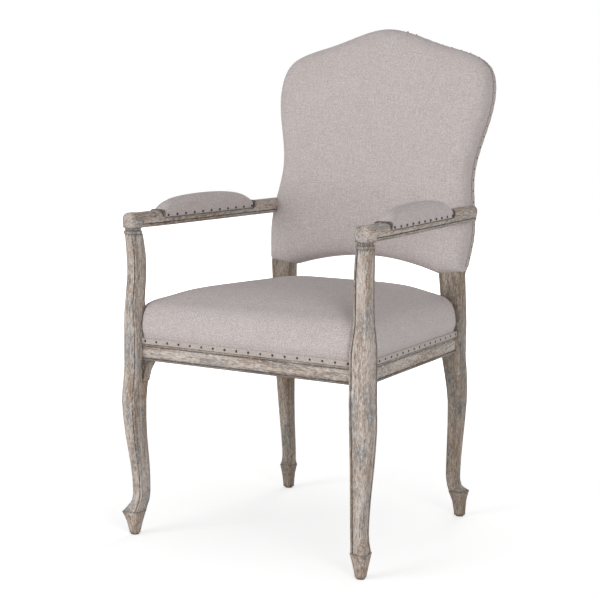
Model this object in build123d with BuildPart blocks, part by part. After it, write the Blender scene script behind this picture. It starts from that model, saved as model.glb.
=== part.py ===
from build123d import *
import math
import os

# Upholstered dining armchair with cabriole front legs, open padded arms and a camel-topped back.
# Millimetres. The chair faces -Y, +Z is up, left is -X as seen from the front.
# The origin is on the floor, under the middle of the chair.

# Overall height
overall_height = 1070.0

# Seat rails: moulded below, cut back above for the cloth
rail_bottom = 373.0
rail_height = 52.0
rail_thickness = 24.0
moulded_height = 35.0
rebate_depth = 4.0
rail_bead = 5.0
rail_groove = 2.4

# Tenons of the rails, at two levels so that they pass each other inside a leg
tenon_length = 22.0
tenon_height = 16.0
tenon_thickness = 10.0
tenon_edge = 6.0
joint_clearance = 0.1

# Front legs, which run up as the arm posts
front_leg_x = 274.0
front_leg_y = -287.0
front_block = 41.0
front_rail_recess = 16.5
toe_height = 50.0
toe_side = 31.0
toe_length = 6.0
toe_ridge = 1.6
ankle_height = 94.0
ankle_side = 28.0
ankle_inset = 11.0
knee_drop = 87.0
knee_side = 40.5
knee_reach = 5.5
knee_ear = 11.0
knee_ear_height = 46.0
post_side = 31.0
post_top_side = 28.5
post_hollow = 2.0
post_reach = 3.5
leg_bead = 5.0
leg_groove = 2.2
leg_groove_depth = 1.4
nose_facets = 6
nose_toe = 3.0
nose_ankle = 7.0
nose_post = 9.0
nose_block = 14.0
collar_height = 12.0
collar_side = 33.0
post_tenon_diameter = 16.0
post_tenon_length = 18.0

# Rear legs, which run up as the back stiles
rear_leg_x = 219.0
rear_leg_y = 198.0
rear_block_x = 44.0
rear_block_y = 38.0
rear_rail_recess = 6.0
side_rail_recess = 7.5
rear_toe_height = 58.0
rear_toe_side = 29.0
rear_toe_length = 6.0
rear_foot_x = 7.0
rear_foot_y = 31.0
rear_foot_turn = 4.0
rear_foot_rake = 7.0
rear_edge = 6.0
stile_y = 191.0
stile_forward = 3.0
stile_depth = 38.0
stile_overlap = 7.0
# Rear calf: share of its height, shifts outwards and backwards, side, edge radius
rear_calf = [
    (0.04, -1.0, 18.5, 26.0, 4.0),
    (0.12, -3.5, 15.0, 26.0, 5.0),
    (0.35, 0.5, 12.5, 29.0, 6.0),
    (0.65, 5.0, 11.0, 35.0, 7.0),
    (0.84, 2.5, 6.0, 40.0, 7.0),
]

# Feet and glides
foot_bottom_side = 19.0
foot_shift = 1.5
foot_edge = 5.5
foot_hollow = 4.0
glide_height = 3.0
glide_diameter = 17.0

# Back, drawn on a raked plane: heights there run along the slope from the lower corner
back_bottom = 545.0
back_rake = 11.0
frame_depth = 28.0
stile_inner_x = 191.0
corner_half = 241.0
swell_half = 250.0
swell_height = 86.0
waist_half = 235.0
waist_height = 216.0
shoulder_half = 264.0
shoulder_height = 392.0
shoulder_turn = 15.0
shoulder_fall = 34.0
shoulder_run = 74.0
crest_lift = 3.9
crest_drop_outer = 51.0
crest_drop_middle = 35.0
crest_drop_inner = 12.0
arch_half = 190.0
arch_drop = 6.0
arch_rise = 25.0
arch_facets = 10
outline_facets = 30
crest_joint = 385.0
crest_rail_rise = 46.0
lower_rail_top = 80.0
back_pad_depth = 34.0
back_edge_reach = 46.0
back_edge_rise = 30.0
back_fullness = 2.2
back_steps = 5
panel_thickness = 3.0
dowel_diameter = 10.0
dowel_length = 50.0
dowel_edge = 15.0

# Cloth, foam, webbing, trim and nails
cloth = 2.0
soft_gap = 0.3
post_gap = 1.0
strap_width = 48.0
strap_thickness = 2.0
strap_count = 4
back_strap_count = 5
trim_height = 12.0
trim_thickness = 3.0
back_trim_thickness = 1.6
nail_head = 5.2
nail_dome = 1.5
nail_spacing = 28.0
nail_facets = 6
nail_margin = 10.0
nail_seat = 0.03
dust_cover_thickness = 1.0
dust_cover_inset = 9.0

# Seat cushion
seat_crown = 106.0
seat_bulge = 8.0
seat_bulge_height = 20.0
seat_fullness = 2.6
seat_crown_reach = 160.0
seat_steps = 8
seat_corner = 34.0
seat_corner_growth = 0.13

# Arms
arm_under = 646.0
arm_height = 31.0
arm_rise = 11.0
arm_width = 35.0
arm_neck_width = 30.0
arm_rear_x = 241.0
arm_top_round = 10.0
arm_bead = 6.0
arm_groove = 2.2
arm_groove_depth = 1.3
arm_chamfer = 2.0
knuckle_side = 38.0
knuckle_round = 12.0
knuckle_facets = 4
pad_start = 80.0
pad_length = 300.0
pad_base = 16.0
pad_crown = 46.0
pad_width = 37.0
pad_rebate = 4.5
pad_facets = 8
stop_width = 5.0
stop_proud = 2.2

# Corner blocks and screws
block_leg = 62.0
block_clip = 26.0
block_height = 34.0
screw_diameter = 6.0
screw_head = 12.0
screw_head_height = 4.0
screw_grip = 24.0
arm_screw_diameter = 5.0
arm_screw_head = 10.0
arm_screw_end = 6.0

# Heights and lines worked out from the sizes above
rail_top = rail_bottom + rail_height
trim_bottom = rail_bottom + moulded_height
knee_height = rail_bottom - knee_drop
front_face_y = front_leg_y - front_block / 2 + front_rail_recess
rear_face_y = rear_leg_y + rear_block_y / 2 - rear_rail_recess
front_post_face = front_leg_y + front_block / 2
rear_post_face = rear_leg_y - rear_block_y / 2
side_front_x = front_leg_x + front_block / 2 - front_rail_recess
side_rear_x = rear_leg_x + rear_block_x / 2 - side_rail_recess
side_slope = (side_front_x - side_rear_x) / (rear_post_face - front_post_face)
diagonal = math.sqrt(0.5)
edge_facets = 3
round_facets = 5
hidden_facets = 8
flat_limit = 1e-6
station_parts = 2
post_top = arm_under - collar_height


def side_x(y, inset=0.0):
    """X of the right seat rail's outer face at y, moved in by inset."""
    return side_front_x - side_slope * (y - front_post_face) - inset / math.cos(math.atan(side_slope))


def seat_outline(inset):
    """Corners of the seat frame's outline, moved in by inset, from the front right corner."""
    front = front_face_y + inset
    rear = rear_face_y - inset
    return [
        (side_x(front, inset), front),
        (side_x(rear, inset), rear),
        (-side_x(rear, inset), rear),
        (-side_x(front, inset), front),
    ]


def eased(corners, radius, facets):
    """Corners of a closed outline, each replaced by points along a round of the given radius."""
    points = []
    for index, corner in enumerate(corners):
        here = Vector(*corner)
        before = (Vector(*corners[index - 1]) - here).normalized()
        after = (Vector(*corners[(index + 1) % len(corners)]) - here).normalized()
        half = math.acos(before.dot(after)) / 2
        centre = here + (before + after).normalized() * (radius / math.sin(half))
        start = here + before * (radius / math.tan(half)) - centre
        end = here + after * (radius / math.tan(half)) - centre
        turn = math.pi - 2 * half
        for step in range(facets + 1):
            share = step / facets
            spoke = start * math.sin((1 - share) * turn) + end * math.sin(share * turn)
            point = centre + spoke / math.sin(turn)
            points.append((point.X, point.Y))
    return points


def faceted(rings):
    """A solid of flat facets between rings of points, all counted the same way round."""
    faces = [
        Face(Wire.make_polygon(list(reversed(rings[0])), close=True)),
        Face(Wire.make_polygon(rings[-1], close=True)),
    ]
    for low, high in zip(rings, rings[1:]):
        for index in range(len(low)):
            corners = [low[index - 1], low[index], high[index], high[index - 1]]
            across = (Vector(*corners[1]) - Vector(*corners[0])).cross(Vector(*corners[3]) - Vector(*corners[0]))
            if abs(across.normalized().dot(Vector(*corners[2]) - Vector(*corners[0]))) < flat_limit:
                faces.append(Face(Wire.make_polygon(corners, close=True)))
            else:
                faces.append(Face(Wire.make_polygon(corners[:3], close=True)))
                faces.append(Face(Wire.make_polygon([corners[0], corners[2], corners[3]], close=True)))
    return Solid(Shell(faces))


def smooth(stations, parts):
    """More stations on smooth curves through the given ones; the first value of each is its place."""
    last = len(stations) - 1
    slopes = []
    for index in range(last + 1):
        low = stations[max(index - 1, 0)]
        high = stations[min(index + 1, last)]
        slopes.append([(b - a) / (high[0] - low[0]) for a, b in zip(low, high)])
    rows = []
    for index in range(last):
        run = stations[index + 1][0] - stations[index][0]
        for part in range(parts):
            t = part / parts
            row = []
            for a, b, m, n in zip(stations[index], stations[index + 1], slopes[index], slopes[index + 1]):
                value = a * (1 + 2 * t) * (1 - t)**2 + b * t * t * (3 - 2 * t)
                row.append(value + run * (m * t * (1 - t)**2 - n * t * t * (1 - t)))
            rows.append(row)
    rows.append(stations[-1])
    return rows


def seat_ring(height, inset, corner):
    """The seat outline with rounded corners as a ring of points at a height."""
    return [(x, y, height) for x, y in eased(seat_outline(inset), corner, round_facets)]


def seat_sketch(height, inset, corner=0.0):
    """The seat outline as a face at a height, with rounded corners if asked for."""
    corners = seat_outline(inset)
    if corner > 0:
        corners = eased(corners, corner, round_facets)
    with BuildSketch(Plane.XY.offset(height)) as section:
        with BuildLine():
            Polyline(*corners, close=True)
        make_face()
    return section.sketch


def eased_square(plane, x, y, wide, deep, radius):
    """A rectangle with rounded corners as a face, centred on a point of the plane."""
    corners = [
        (x - wide / 2, y - deep / 2),
        (x + wide / 2, y - deep / 2),
        (x + wide / 2, y + deep / 2),
        (x - wide / 2, y + deep / 2),
    ]
    with BuildSketch(plane) as section:
        with BuildLine():
            Polyline(*eased(corners, radius, edge_facets), close=True)
        make_face()
    return section.sketch


def plain_ring(height, x, y, wide, deep, edge, toe=0.0, facing=1):
    """A leg section with rounded corners; toe draws out the corner that faces away from the chair."""
    half_x = wide / 2
    half_y = facing * deep / 2
    corners = [
        (x - half_x, y - half_y),
        (x + half_x, y - half_y),
        (x + half_x + toe, y + half_y + facing * toe),
        (x - half_x, y + half_y),
    ]
    if facing < 0:
        corners.reverse()
    return [(a, b, height) for a, b in eased(corners, edge, edge_facets)]


def beaded_ring(height, outward, side, nose, toe=0.0):
    """A front leg section: round outer corner, and a groove and bead beside both side corners."""
    x = front_leg_x + outward * diagonal
    y = front_leg_y - outward * diagonal
    half = side / 2
    bead = half - leg_bead
    groove = bead - leg_groove
    ease = leg_bead / 2
    cut = ease * (1 - diagonal)
    tip = half + toe
    run = math.hypot(tip + groove, toe)
    along = Vector((tip + groove) / run, -toe / run)
    spread = math.acos((along.X - along.Y) * diagonal)
    start = Vector(tip, -tip) - along * (nose / math.tan(spread))
    spoke = Vector(along.Y, -along.X) * nose
    turn = math.degrees(math.pi / 2 + 2 * math.atan2(toe, tip + groove))
    front = [
        (-half, -half + ease),
        (-half + cut, -half + cut),
        (-half + ease, -half),
        (-bead, -half),
        (-bead + leg_groove / 2, -half + leg_groove_depth),
        (-groove, -half),
    ]
    around = []
    for step in range(nose_facets + 1):
        point = start - spoke + spoke.rotate(Axis.Z, turn * step / nose_facets)
        around.append((point.X, point.Y))
    side_face = [(-b, -a) for a, b in reversed(front)]
    outline = [(-half, half)] + front + around + side_face
    return [(x + a, y + b, height) for a, b in outline]


def ear_ring(height, grown):
    """Section of the ear behind a front leg's knee, grown towards the chair's middle."""
    inner = front_block / 2 + grown
    left = front_leg_x - inner
    rear = front_leg_y + inner
    return [
        (left, front_leg_y, height),
        (front_leg_x, front_leg_y, height),
        (front_leg_x, rear, height),
        (left, rear, height),
    ]


# Planes that carry the slanted pieces
rake = math.radians(back_rake)
back_plane = Plane(
    origin=(0, stile_y, back_bottom),
    x_dir=(1, 0, 0),
    z_dir=(0, -math.cos(rake), math.sin(rake)),
)
back_height = (overall_height - crest_lift - back_bottom) / math.cos(rake)
side_plane = Plane(
    origin=(side_front_x, front_post_face, rail_bottom),
    x_dir=(-math.cos(math.atan(side_slope)), -math.sin(math.atan(side_slope)), 0),
    z_dir=(-math.sin(math.atan(side_slope)), math.cos(math.atan(side_slope)), 0),
)
side_rail_length = (rear_post_face - front_post_face) / math.cos(math.atan(side_slope))
post_x = front_leg_x + post_reach * diagonal
post_y = front_leg_y - post_reach * diagonal
arm_rear_y = stile_y + (arm_under + arm_height / 2 - back_bottom) * math.tan(rake)
arm_along = Vector(arm_rear_x - post_x, arm_rear_y - post_y, arm_rise).normalized()
arm_inward = Vector(0, 0, 1).cross(arm_along).normalized()
arm_plane = Plane(origin=(post_x, post_y, arm_under), x_dir=arm_along, z_dir=arm_along.cross(arm_inward))
arm_length = math.hypot(arm_rear_x - post_x, arm_rear_y - post_y)


def across_arm(distance):
    """A plane square to the arm at a distance from its post: x points inwards and y up."""
    return Plane(origin=arm_plane.from_local_coords((distance, 0, 0)), x_dir=arm_inward, z_dir=arm_along)


# Tenons, each drawn as one bar right through its rail
def tenon_bar(plane, length, upper, clearance):
    """A bar along a rail's plane that sticks out of both ends of the rail by the tenon's length."""
    level = tenon_edge + tenon_height / 2
    if upper:
        level = rail_height - level
    with BuildPart() as bar:
        with BuildSketch(plane.offset(-tenon_length - clearance)):
            with Locations((rail_thickness / 2, level)):
                Rectangle(tenon_thickness + 2 * clearance, tenon_height + 2 * clearance)
        extrude(amount=length + 2 * (tenon_length + clearance))
    return bar.part


def rail_blank(plane, length):
    """A moulded rail along a plane whose origin is at its lower outer edge: x points inwards, y up."""
    face_top = moulded_height
    with BuildPart() as blank:
        with BuildSketch(plane):
            with BuildLine():
                Polyline((rail_bead / 2, 0), (rail_thickness, 0), (rail_thickness, rail_height),
                         (rebate_depth, rail_height), (rebate_depth, face_top), (rail_bead / 2, face_top))
                for middle in (face_top - rail_bead / 2, rail_bead / 2):
                    ThreePointArc((rail_bead / 2, middle + rail_bead / 2), (0, middle),
                                  (rail_bead / 2, middle - rail_bead / 2))
                Polyline((rail_bead / 2, face_top - rail_bead),
                         (rail_groove / 2, face_top - rail_bead - rail_groove),
                         (rail_groove / 2, rail_bead + rail_groove), (rail_bead / 2, rail_bead))
            make_face()
        extrude(amount=length)
    return blank.part


front_span = front_leg_x - front_block / 2
rear_span = rear_leg_x - rear_block_x / 2
front_plane = Plane(origin=(-front_span, front_face_y, rail_bottom), x_dir=(0, 1, 0), z_dir=(1, 0, 0))
rear_plane = Plane(origin=(rear_span, rear_face_y, rail_bottom), x_dir=(0, -1, 0), z_dir=(-1, 0, 0))
front_mortise = tenon_bar(front_plane, 2 * front_span, False, joint_clearance)
rear_mortise = tenon_bar(rear_plane, 2 * rear_span, False, joint_clearance)
side_mortise = tenon_bar(side_plane, side_rail_length, True, joint_clearance)

# Corner blocks, each cut square across the corner, with one screw into the leg
front_inner_y = front_face_y + rail_thickness
rear_inner_y = rear_face_y - rail_thickness
block_bottom = rail_bottom + (rail_height - block_height) / 2


def block_corner(inner_y, toward):
    """Plan of a right corner block and the middle of its long face; toward is 1 in front, -1 behind."""
    inner_x = side_x(inner_y, rail_thickness)
    plan = []
    for reach in (block_leg, block_clip):
        step = reach / (1 + toward * side_slope)
        pair = [(inner_x - reach, inner_y), (inner_x - reach + step, inner_y + toward * step)]
        plan.append(pair)
    long_face = plan[0]
    middle = ((long_face[0][0] + long_face[1][0]) / 2, (long_face[0][1] + long_face[1][1]) / 2)
    return [plan[0][0], plan[0][1], plan[1][1], plan[1][0]], middle


def screw_plane(middle, toward):
    """Plane on a corner block's long face, facing along the screw into the leg."""
    return Plane(
        origin=(middle[0], middle[1], rail_bottom + rail_height / 2),
        x_dir=(0, 0, 1),
        z_dir=(diagonal, -toward * diagonal, 0),
    )


block_plans = [block_corner(front_inner_y, 1), block_corner(rear_inner_y, -1)]
screw_planes = [screw_plane(block_plans[0][1], 1), screw_plane(block_plans[1][1], -1)]
leg_corners = [(front_span, front_post_face), (rear_span, rear_post_face)]
screw_lengths = []
for plan, corner in zip(block_plans, leg_corners):
    screw_lengths.append(math.dist(plan[1], corner) + screw_grip)

with BuildPart() as corner_screws_right:
    for plane, length in zip(screw_planes, screw_lengths):
        with BuildSketch(plane):
            RegularPolygon(screw_diameter / 2, hidden_facets)
        extrude(amount=length)
        with BuildSketch(plane):
            RegularPolygon(screw_head / 2, 6)
        extrude(amount=-screw_head_height)

with BuildPart() as screw_holes:
    for plane, length in zip(screw_planes, screw_lengths):
        with BuildSketch(plane):
            RegularPolygon(screw_diameter / 2 + joint_clearance, hidden_facets)
        extrude(amount=length + joint_clearance)

with BuildPart() as screw_holes_left:
    mirror(screw_holes.part, about=Plane.YZ)

with BuildPart() as corner_block_screws:
    add(corner_screws_right.part)
    mirror(corner_screws_right.part, about=Plane.YZ)

with BuildPart() as corner_blocks:
    with BuildSketch(Plane.XY.offset(block_bottom)):
        for plan in block_plans:
            with BuildLine():
                Polyline(*plan[0], close=True)
            make_face()
    extrude(amount=block_height)
    add(screw_holes.part, mode=Mode.SUBTRACT)
    mirror(about=Plane.YZ)

# Seat rails
with BuildPart() as front_seat_rail:
    add(rail_blank(front_plane, 2 * front_span))
    add(tenon_bar(front_plane, 2 * front_span, False, 0))
    add(screw_holes.part, mode=Mode.SUBTRACT)
    add(screw_holes_left.part, mode=Mode.SUBTRACT)

with BuildPart() as rear_seat_rail:
    add(rail_blank(rear_plane, 2 * rear_span))
    add(tenon_bar(rear_plane, 2 * rear_span, False, 0))
    add(screw_holes.part, mode=Mode.SUBTRACT)
    add(screw_holes_left.part, mode=Mode.SUBTRACT)

side_overrun = rail_thickness * side_slope
with BuildPart() as right_seat_rail:
    add(rail_blank(side_plane.offset(-side_overrun), side_rail_length + 2 * side_overrun))
    split(bisect_by=Plane.XZ.offset(-front_post_face), keep=Keep.BOTTOM)
    split(bisect_by=Plane.XZ.offset(-rear_post_face), keep=Keep.TOP)
    add(tenon_bar(side_plane, side_rail_length, True, 0))
    add(screw_holes.part, mode=Mode.SUBTRACT)

with BuildPart() as left_seat_rail:
    mirror(right_seat_rail.part, about=Plane.YZ)

# Front legs: conical foot, cabriole leg, square block at the rails, hollowed arm post
post_span = post_top - rail_top
calf = knee_height - ankle_height
instep = ankle_height - toe_height
def post_tenon(grow):
    """Section of the peg that holds the arm on its post."""
    with BuildSketch(Plane.XY.offset(arm_under)) as section:
        with Locations((post_x, post_y)):
            RegularPolygon(post_tenon_diameter / 2 + grow, 2 * hidden_facets)
    return section.sketch


front_foot = [
    (glide_height, front_leg_x + foot_shift, front_leg_y - foot_shift, foot_bottom_side, foot_bottom_side,
     foot_edge, 0),
    (toe_height * 0.6, front_leg_x + foot_shift * 0.6, front_leg_y - foot_shift * 0.6, toe_side - foot_hollow,
     toe_side - foot_hollow, foot_edge, toe_length / 3),
    (toe_height, front_leg_x, front_leg_y, toe_side + toe_ridge, toe_side + toe_ridge, nose_toe, toe_length),
]
front_shank = [
    (toe_height, 0, toe_side, nose_toe, toe_length),
    (toe_height + instep * 0.25, -ankle_inset * 0.38, ankle_side + 1, nose_ankle - 2, toe_length * 0.5),
    (toe_height + instep * 0.52, -ankle_inset * 0.8, ankle_side, nose_ankle - 1, 0),
    (ankle_height, -ankle_inset, ankle_side, nose_ankle, 0),
    (ankle_height + calf * 0.3, -ankle_inset * 0.66, ankle_side + 3, nose_ankle + 2, 0),
    (ankle_height + calf * 0.62, knee_reach * 0.2, knee_side - 5, nose_block - 2, 0),
    (knee_height, knee_reach, knee_side, nose_block, 0),
    (knee_height + knee_drop * 0.5, knee_reach * 0.35, front_block, nose_block, 0),
    (knee_height + knee_drop * 0.85, 0, front_block, nose_block, 0),
    (rail_bottom, 0, front_block, nose_block, 0),
]
front_ear = [
    (rail_bottom - knee_ear_height, 0),
    (rail_bottom - knee_ear_height * 0.5, knee_ear * 0.35),
    (rail_bottom - knee_ear_height * 0.2, knee_ear * 0.8),
    (rail_bottom, knee_ear),
]
front_post = [
    (rail_top, 0, front_block, nose_block),
    (rail_top + post_span * 0.05, 0, front_block, nose_block),
    (rail_top + post_span * 0.2, post_hollow, front_block - 4.5, nose_block - 2),
    (rail_top + post_span * 0.34, post_hollow, post_side + 1, nose_post + 1),
    (rail_top + post_span * 0.58, -post_hollow, post_side, nose_post),
    (rail_top + post_span * 0.8, -post_hollow * 0.6, post_side - 0.5, nose_post - 1),
    (post_top, post_reach, post_top_side, nose_post - 1),
]
with BuildPart() as front_leg_right:
    add(faceted([plain_ring(*row, -1) for row in smooth(front_foot, station_parts)]))
    add(faceted([beaded_ring(*row) for row in smooth(front_shank, station_parts)]))
    add(faceted([ear_ring(*row) for row in front_ear]))
    add(faceted([beaded_ring(height, 0, front_block, nose_block) for height in (rail_bottom, rail_top)]))
    add(faceted([beaded_ring(*row) for row in smooth(front_post, station_parts)]))
    extrude(eased_square(Plane.XY.offset(post_top), post_x, post_y, collar_side, collar_side,
                         collar_side * 0.3), amount=collar_height / 2)
    extrude(eased_square(Plane.XY.offset(post_top + collar_height / 2), post_x, post_y, post_top_side,
                         post_top_side, post_top_side * 0.3), amount=collar_height / 2)
    extrude(post_tenon(0), amount=post_tenon_length)
    add(front_mortise, mode=Mode.SUBTRACT)
    add(side_mortise, mode=Mode.SUBTRACT)
    add(screw_holes.part, mode=Mode.SUBTRACT)

with BuildPart() as front_leg_left:
    mirror(front_leg_right.part, about=Plane.YZ)


# Outline of the back, drawn once; what lies under the cloth takes it moved in
def back_points(inset):
    """Points of the back's outline on the raked plane, moved in by inset."""
    side = shoulder_half - inset
    crest = back_height - inset
    arch_end = arch_half - inset / 2
    right_side = [
        (corner_half - inset, inset),
        (swell_half - inset, swell_height),
        (waist_half - inset, waist_height),
        (side, shoulder_height),
        (side - shoulder_turn, crest - crest_drop_outer - shoulder_fall),
        (side - shoulder_run, crest - crest_drop_outer),
        (side * 0.5, crest - crest_drop_middle),
        (side * 0.24, crest - crest_drop_inner),
        (0, crest),
    ]
    curve = Edge.make_spline([Vector(*point) for point in right_side], [Vector(0.1, 1), Vector(-1, 0)])
    around = [(arch_end, inset - arch_drop)]
    for step in range(outline_facets):
        place = curve.position_at(step / outline_facets)
        around.append((place.X, place.Y))
    lower = []
    for step in range(1, arch_facets):
        across = 1 - 2 * step / arch_facets
        lower.append((-arch_end * across, inset + arch_rise - (arch_rise + arch_drop) * across**2))
    mirrored = [(-x, y) for x, y in reversed(around)]
    return around + [(0, crest)] + mirrored + lower


def back_outline(inset=0.0, level=0.0):
    """The back's outline as a face on the raked plane, moved in by inset."""
    with BuildSketch(back_plane.offset(level)) as face:
        with BuildLine():
            Polyline(*back_points(inset), close=True)
        make_face()
    return face.sketch


def back_ring(inset, level):
    """The back's outline as a ring of points at a level of the raked plane."""
    return [tuple(back_plane.from_local_coords((x, y, level))) for x, y in back_points(inset)]


def back_window(x_low, x_high, low, high):
    """A rectangle on the raked plane between two half widths and two heights."""
    with BuildSketch(back_plane) as window:
        with Locations(((x_low + x_high) / 2, (low + high) / 2)):
            Rectangle(x_high - x_low, high - low)
    return window.sketch


frame_front = frame_depth / 2
reach_out = 2 * shoulder_half


def back_slab(x_low, x_high, low, high):
    """The back frame's board between two half widths and two heights, cut to the outline under the cloth."""
    with BuildPart() as slab:
        extrude(back_outline(cloth + soft_gap), amount=frame_front, both=True)
        extrude(back_window(x_low, x_high, low, high), amount=frame_depth, both=True, mode=Mode.INTERSECT)
    return slab.part


def dowel_planes():
    """Planes across the middle of each dowel: two at both ends of the lower rail and of the crest."""
    planes = []
    for side in (-1, 1):
        for level in (arch_rise + dowel_edge, lower_rail_top - dowel_edge):
            place = back_plane.from_local_coords((side * stile_inner_x, level, 0))
            planes.append(Plane(origin=place, x_dir=(0, 0, 1), z_dir=(1, 0, 0)))
        for across in (dowel_edge, 3 * dowel_edge):
            place = back_plane.from_local_coords((side * (stile_inner_x + across), crest_joint, 0))
            planes.append(Plane(origin=place, x_dir=(1, 0, 0), z_dir=back_plane.y_dir))
    return planes


def dowel_set(grow):
    """The dowels of the back frame, grown by a clearance for their holes."""
    with BuildPart() as dowels:
        with BuildSketch(*dowel_planes()):
            RegularPolygon(dowel_diameter / 2 + grow, hidden_facets)
        extrude(amount=dowel_length / 2 + grow, both=True)
    return dowels.part


# Dowels of the back frame
with BuildPart() as back_dowels:
    add(dowel_set(0))

dowel_holes = dowel_set(joint_clearance)

# Arm screws run from inside each stile out into the arm
arm_joint_height = (arm_under + arm_rise + arm_height / 2 - back_bottom) / math.cos(rake)
arm_screw_plane = Plane(
    origin=back_plane.from_local_coords((stile_inner_x, arm_joint_height, frame_front / 2)),
    x_dir=(0, 0, 1),
    z_dir=(1, 0, 0),
)
arm_screw_length = arm_rear_x + arm_width / 2 - arm_screw_end - stile_inner_x

with BuildPart() as arm_screw_right:
    with BuildSketch(arm_screw_plane):
        RegularPolygon(arm_screw_diameter / 2, hidden_facets)
    extrude(amount=arm_screw_length)
    with BuildSketch(arm_screw_plane):
        RegularPolygon(arm_screw_head / 2, 6)
    extrude(amount=-screw_head_height)

with BuildPart() as arm_screw_hole:
    with BuildSketch(arm_screw_plane):
        RegularPolygon(arm_screw_diameter / 2 + joint_clearance, hidden_facets)
    extrude(amount=arm_screw_length + joint_clearance)

with BuildPart() as arm_screws:
    add(arm_screw_right.part)
    mirror(arm_screw_right.part, about=Plane.YZ)

# Rear legs: splayed foot, straight block at the rails, raked stile under the cloth
rear_lift = rail_bottom - rear_toe_height
stile_rise = back_bottom - rail_top
stile_width = corner_half - stile_inner_x
stile_x = (corner_half + stile_inner_x) / 2
stile_base_y = stile_y - stile_forward
rear_toe_x = rear_leg_x + rear_foot_x - rear_foot_turn
rear_toe_y = rear_leg_y + rear_foot_y - rear_foot_rake
rear_sole = foot_bottom_side + 2
rear_block = (rear_leg_x, rear_leg_y, rear_block_x, rear_block_y, rear_edge)
rear_foot = [
    (glide_height, rear_leg_x + rear_foot_x, rear_leg_y + rear_foot_y, rear_sole, rear_sole, foot_edge, 0),
    (rear_toe_height * 0.6, rear_toe_x + rear_foot_turn * 0.7, rear_toe_y + rear_foot_rake * 0.6,
     rear_toe_side - foot_hollow, rear_toe_side - foot_hollow, foot_edge, rear_toe_length / 4),
    (rear_toe_height, rear_toe_x, rear_toe_y, rear_toe_side + toe_ridge, rear_toe_side + toe_ridge, nose_toe,
     rear_toe_length),
]
rear_shank = [(rear_toe_height, rear_toe_x, rear_toe_y, rear_toe_side, rear_toe_side, nose_toe, rear_toe_length)]
for share, outwards, backwards, side, edge in rear_calf:
    rear_shank.append((rear_toe_height + rear_lift * share, rear_leg_x + outwards, rear_leg_y + backwards,
                       side, side, edge, 0))
rear_shank.append((rail_bottom - rear_lift * 0.04, *rear_block, 0))
rear_shank.append((rail_bottom, *rear_block, 0))
rear_stile = [
    (rail_top, *rear_block),
    (rail_top + stile_rise * 0.1, *rear_block),
    (rail_top + stile_rise * 0.5, (rear_leg_x + stile_x) / 2, (rear_leg_y + stile_base_y) / 2,
     (rear_block_x + stile_width) / 2, (rear_block_y + stile_depth) / 2, rear_edge),
    (back_bottom - stile_overlap, stile_x, stile_base_y, stile_width, stile_depth, rear_edge),
    (back_bottom, stile_x, stile_base_y, stile_width, stile_depth, rear_edge),
    (back_bottom + stile_overlap, stile_x, stile_base_y + stile_overlap * math.tan(rake), stile_width,
     stile_depth, rear_edge),
]
with BuildPart() as rear_leg_right:
    add(faceted([plain_ring(*row) for row in smooth(rear_foot, station_parts)]))
    add(faceted([plain_ring(*row) for row in smooth(rear_shank, station_parts)]))
    add(faceted([plain_ring(height, *rear_block) for height in (rail_bottom, rail_top)]))
    add(faceted([plain_ring(*row) for row in smooth(rear_stile, station_parts)]))
    add(back_slab(stile_inner_x, reach_out, -reach_out, crest_joint))
    add(rear_mortise, mode=Mode.SUBTRACT)
    add(side_mortise, mode=Mode.SUBTRACT)
    add(screw_holes.part, mode=Mode.SUBTRACT)
    add(dowel_holes, mode=Mode.SUBTRACT)
    add(arm_screw_hole.part, mode=Mode.SUBTRACT)

with BuildPart() as rear_leg_left:
    mirror(rear_leg_right.part, about=Plane.YZ)

# Cross rails of the back, both arched
with BuildPart() as lower_back_rail:
    lower_rail_half = stile_inner_x - joint_clearance
    add(back_slab(-lower_rail_half, lower_rail_half, -reach_out, lower_rail_top))
    add(dowel_holes, mode=Mode.SUBTRACT)

with BuildPart() as crest_rail:
    add(back_slab(-reach_out, reach_out, crest_joint, 2 * back_height))
    with BuildSketch(back_plane):
        with BuildLine():
            Line((-stile_inner_x, crest_joint), (stile_inner_x, crest_joint))
            ThreePointArc((stile_inner_x, crest_joint), (0, crest_joint + crest_rail_rise),
                          (-stile_inner_x, crest_joint))
        make_face()
    extrude(amount=frame_depth, both=True, mode=Mode.SUBTRACT)
    add(dowel_holes, mode=Mode.SUBTRACT)


# Arms: bar with a bead along its lower edges, knuckle over the post, core and stops for the pad
def arm_ring(distance, width):
    """Arm section at a distance from the post: rounded top, groove above a bead on both sides."""
    half = width / 2
    groove_top = arm_bead + arm_groove
    right = [
        (half - arm_chamfer, 0),
        (half, arm_chamfer),
        (half, arm_bead),
        (half - arm_groove_depth, arm_bead + arm_groove / 2),
        (half, groove_top),
    ]
    for step in range(edge_facets + 1):
        turn = math.radians(90 * step / edge_facets)
        right.append((half - arm_top_round * (1 - math.cos(turn)),
                      arm_height - arm_top_round * (1 - math.sin(turn))))
    left = [(-x, y) for x, y in reversed(right)]
    plane = across_arm(distance)
    return [tuple(plane.from_local_coords((x, y, 0))) for x, y in right + left]


def knuckle_ring(height, inset):
    """Knuckle section at a height above the post, drawn in by the inset."""
    side = knuckle_side - 2 * inset
    return plain_ring(arm_under + height, post_x, post_y, side, side, side * 0.36)


knuckle_top = arm_height + 1
knuckle_rings = [
    knuckle_ring(0, arm_bead / 2),
    knuckle_ring(arm_bead * 0.15, arm_bead * 0.15),
    knuckle_ring(arm_bead / 2, 0),
]
for step in range(knuckle_facets + 1):
    turn = math.radians(90 * step / knuckle_facets)
    knuckle_rings.append(knuckle_ring(knuckle_top - knuckle_round * (1 - math.sin(turn)),
                                      knuckle_round * (1 - math.cos(turn))))

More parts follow.
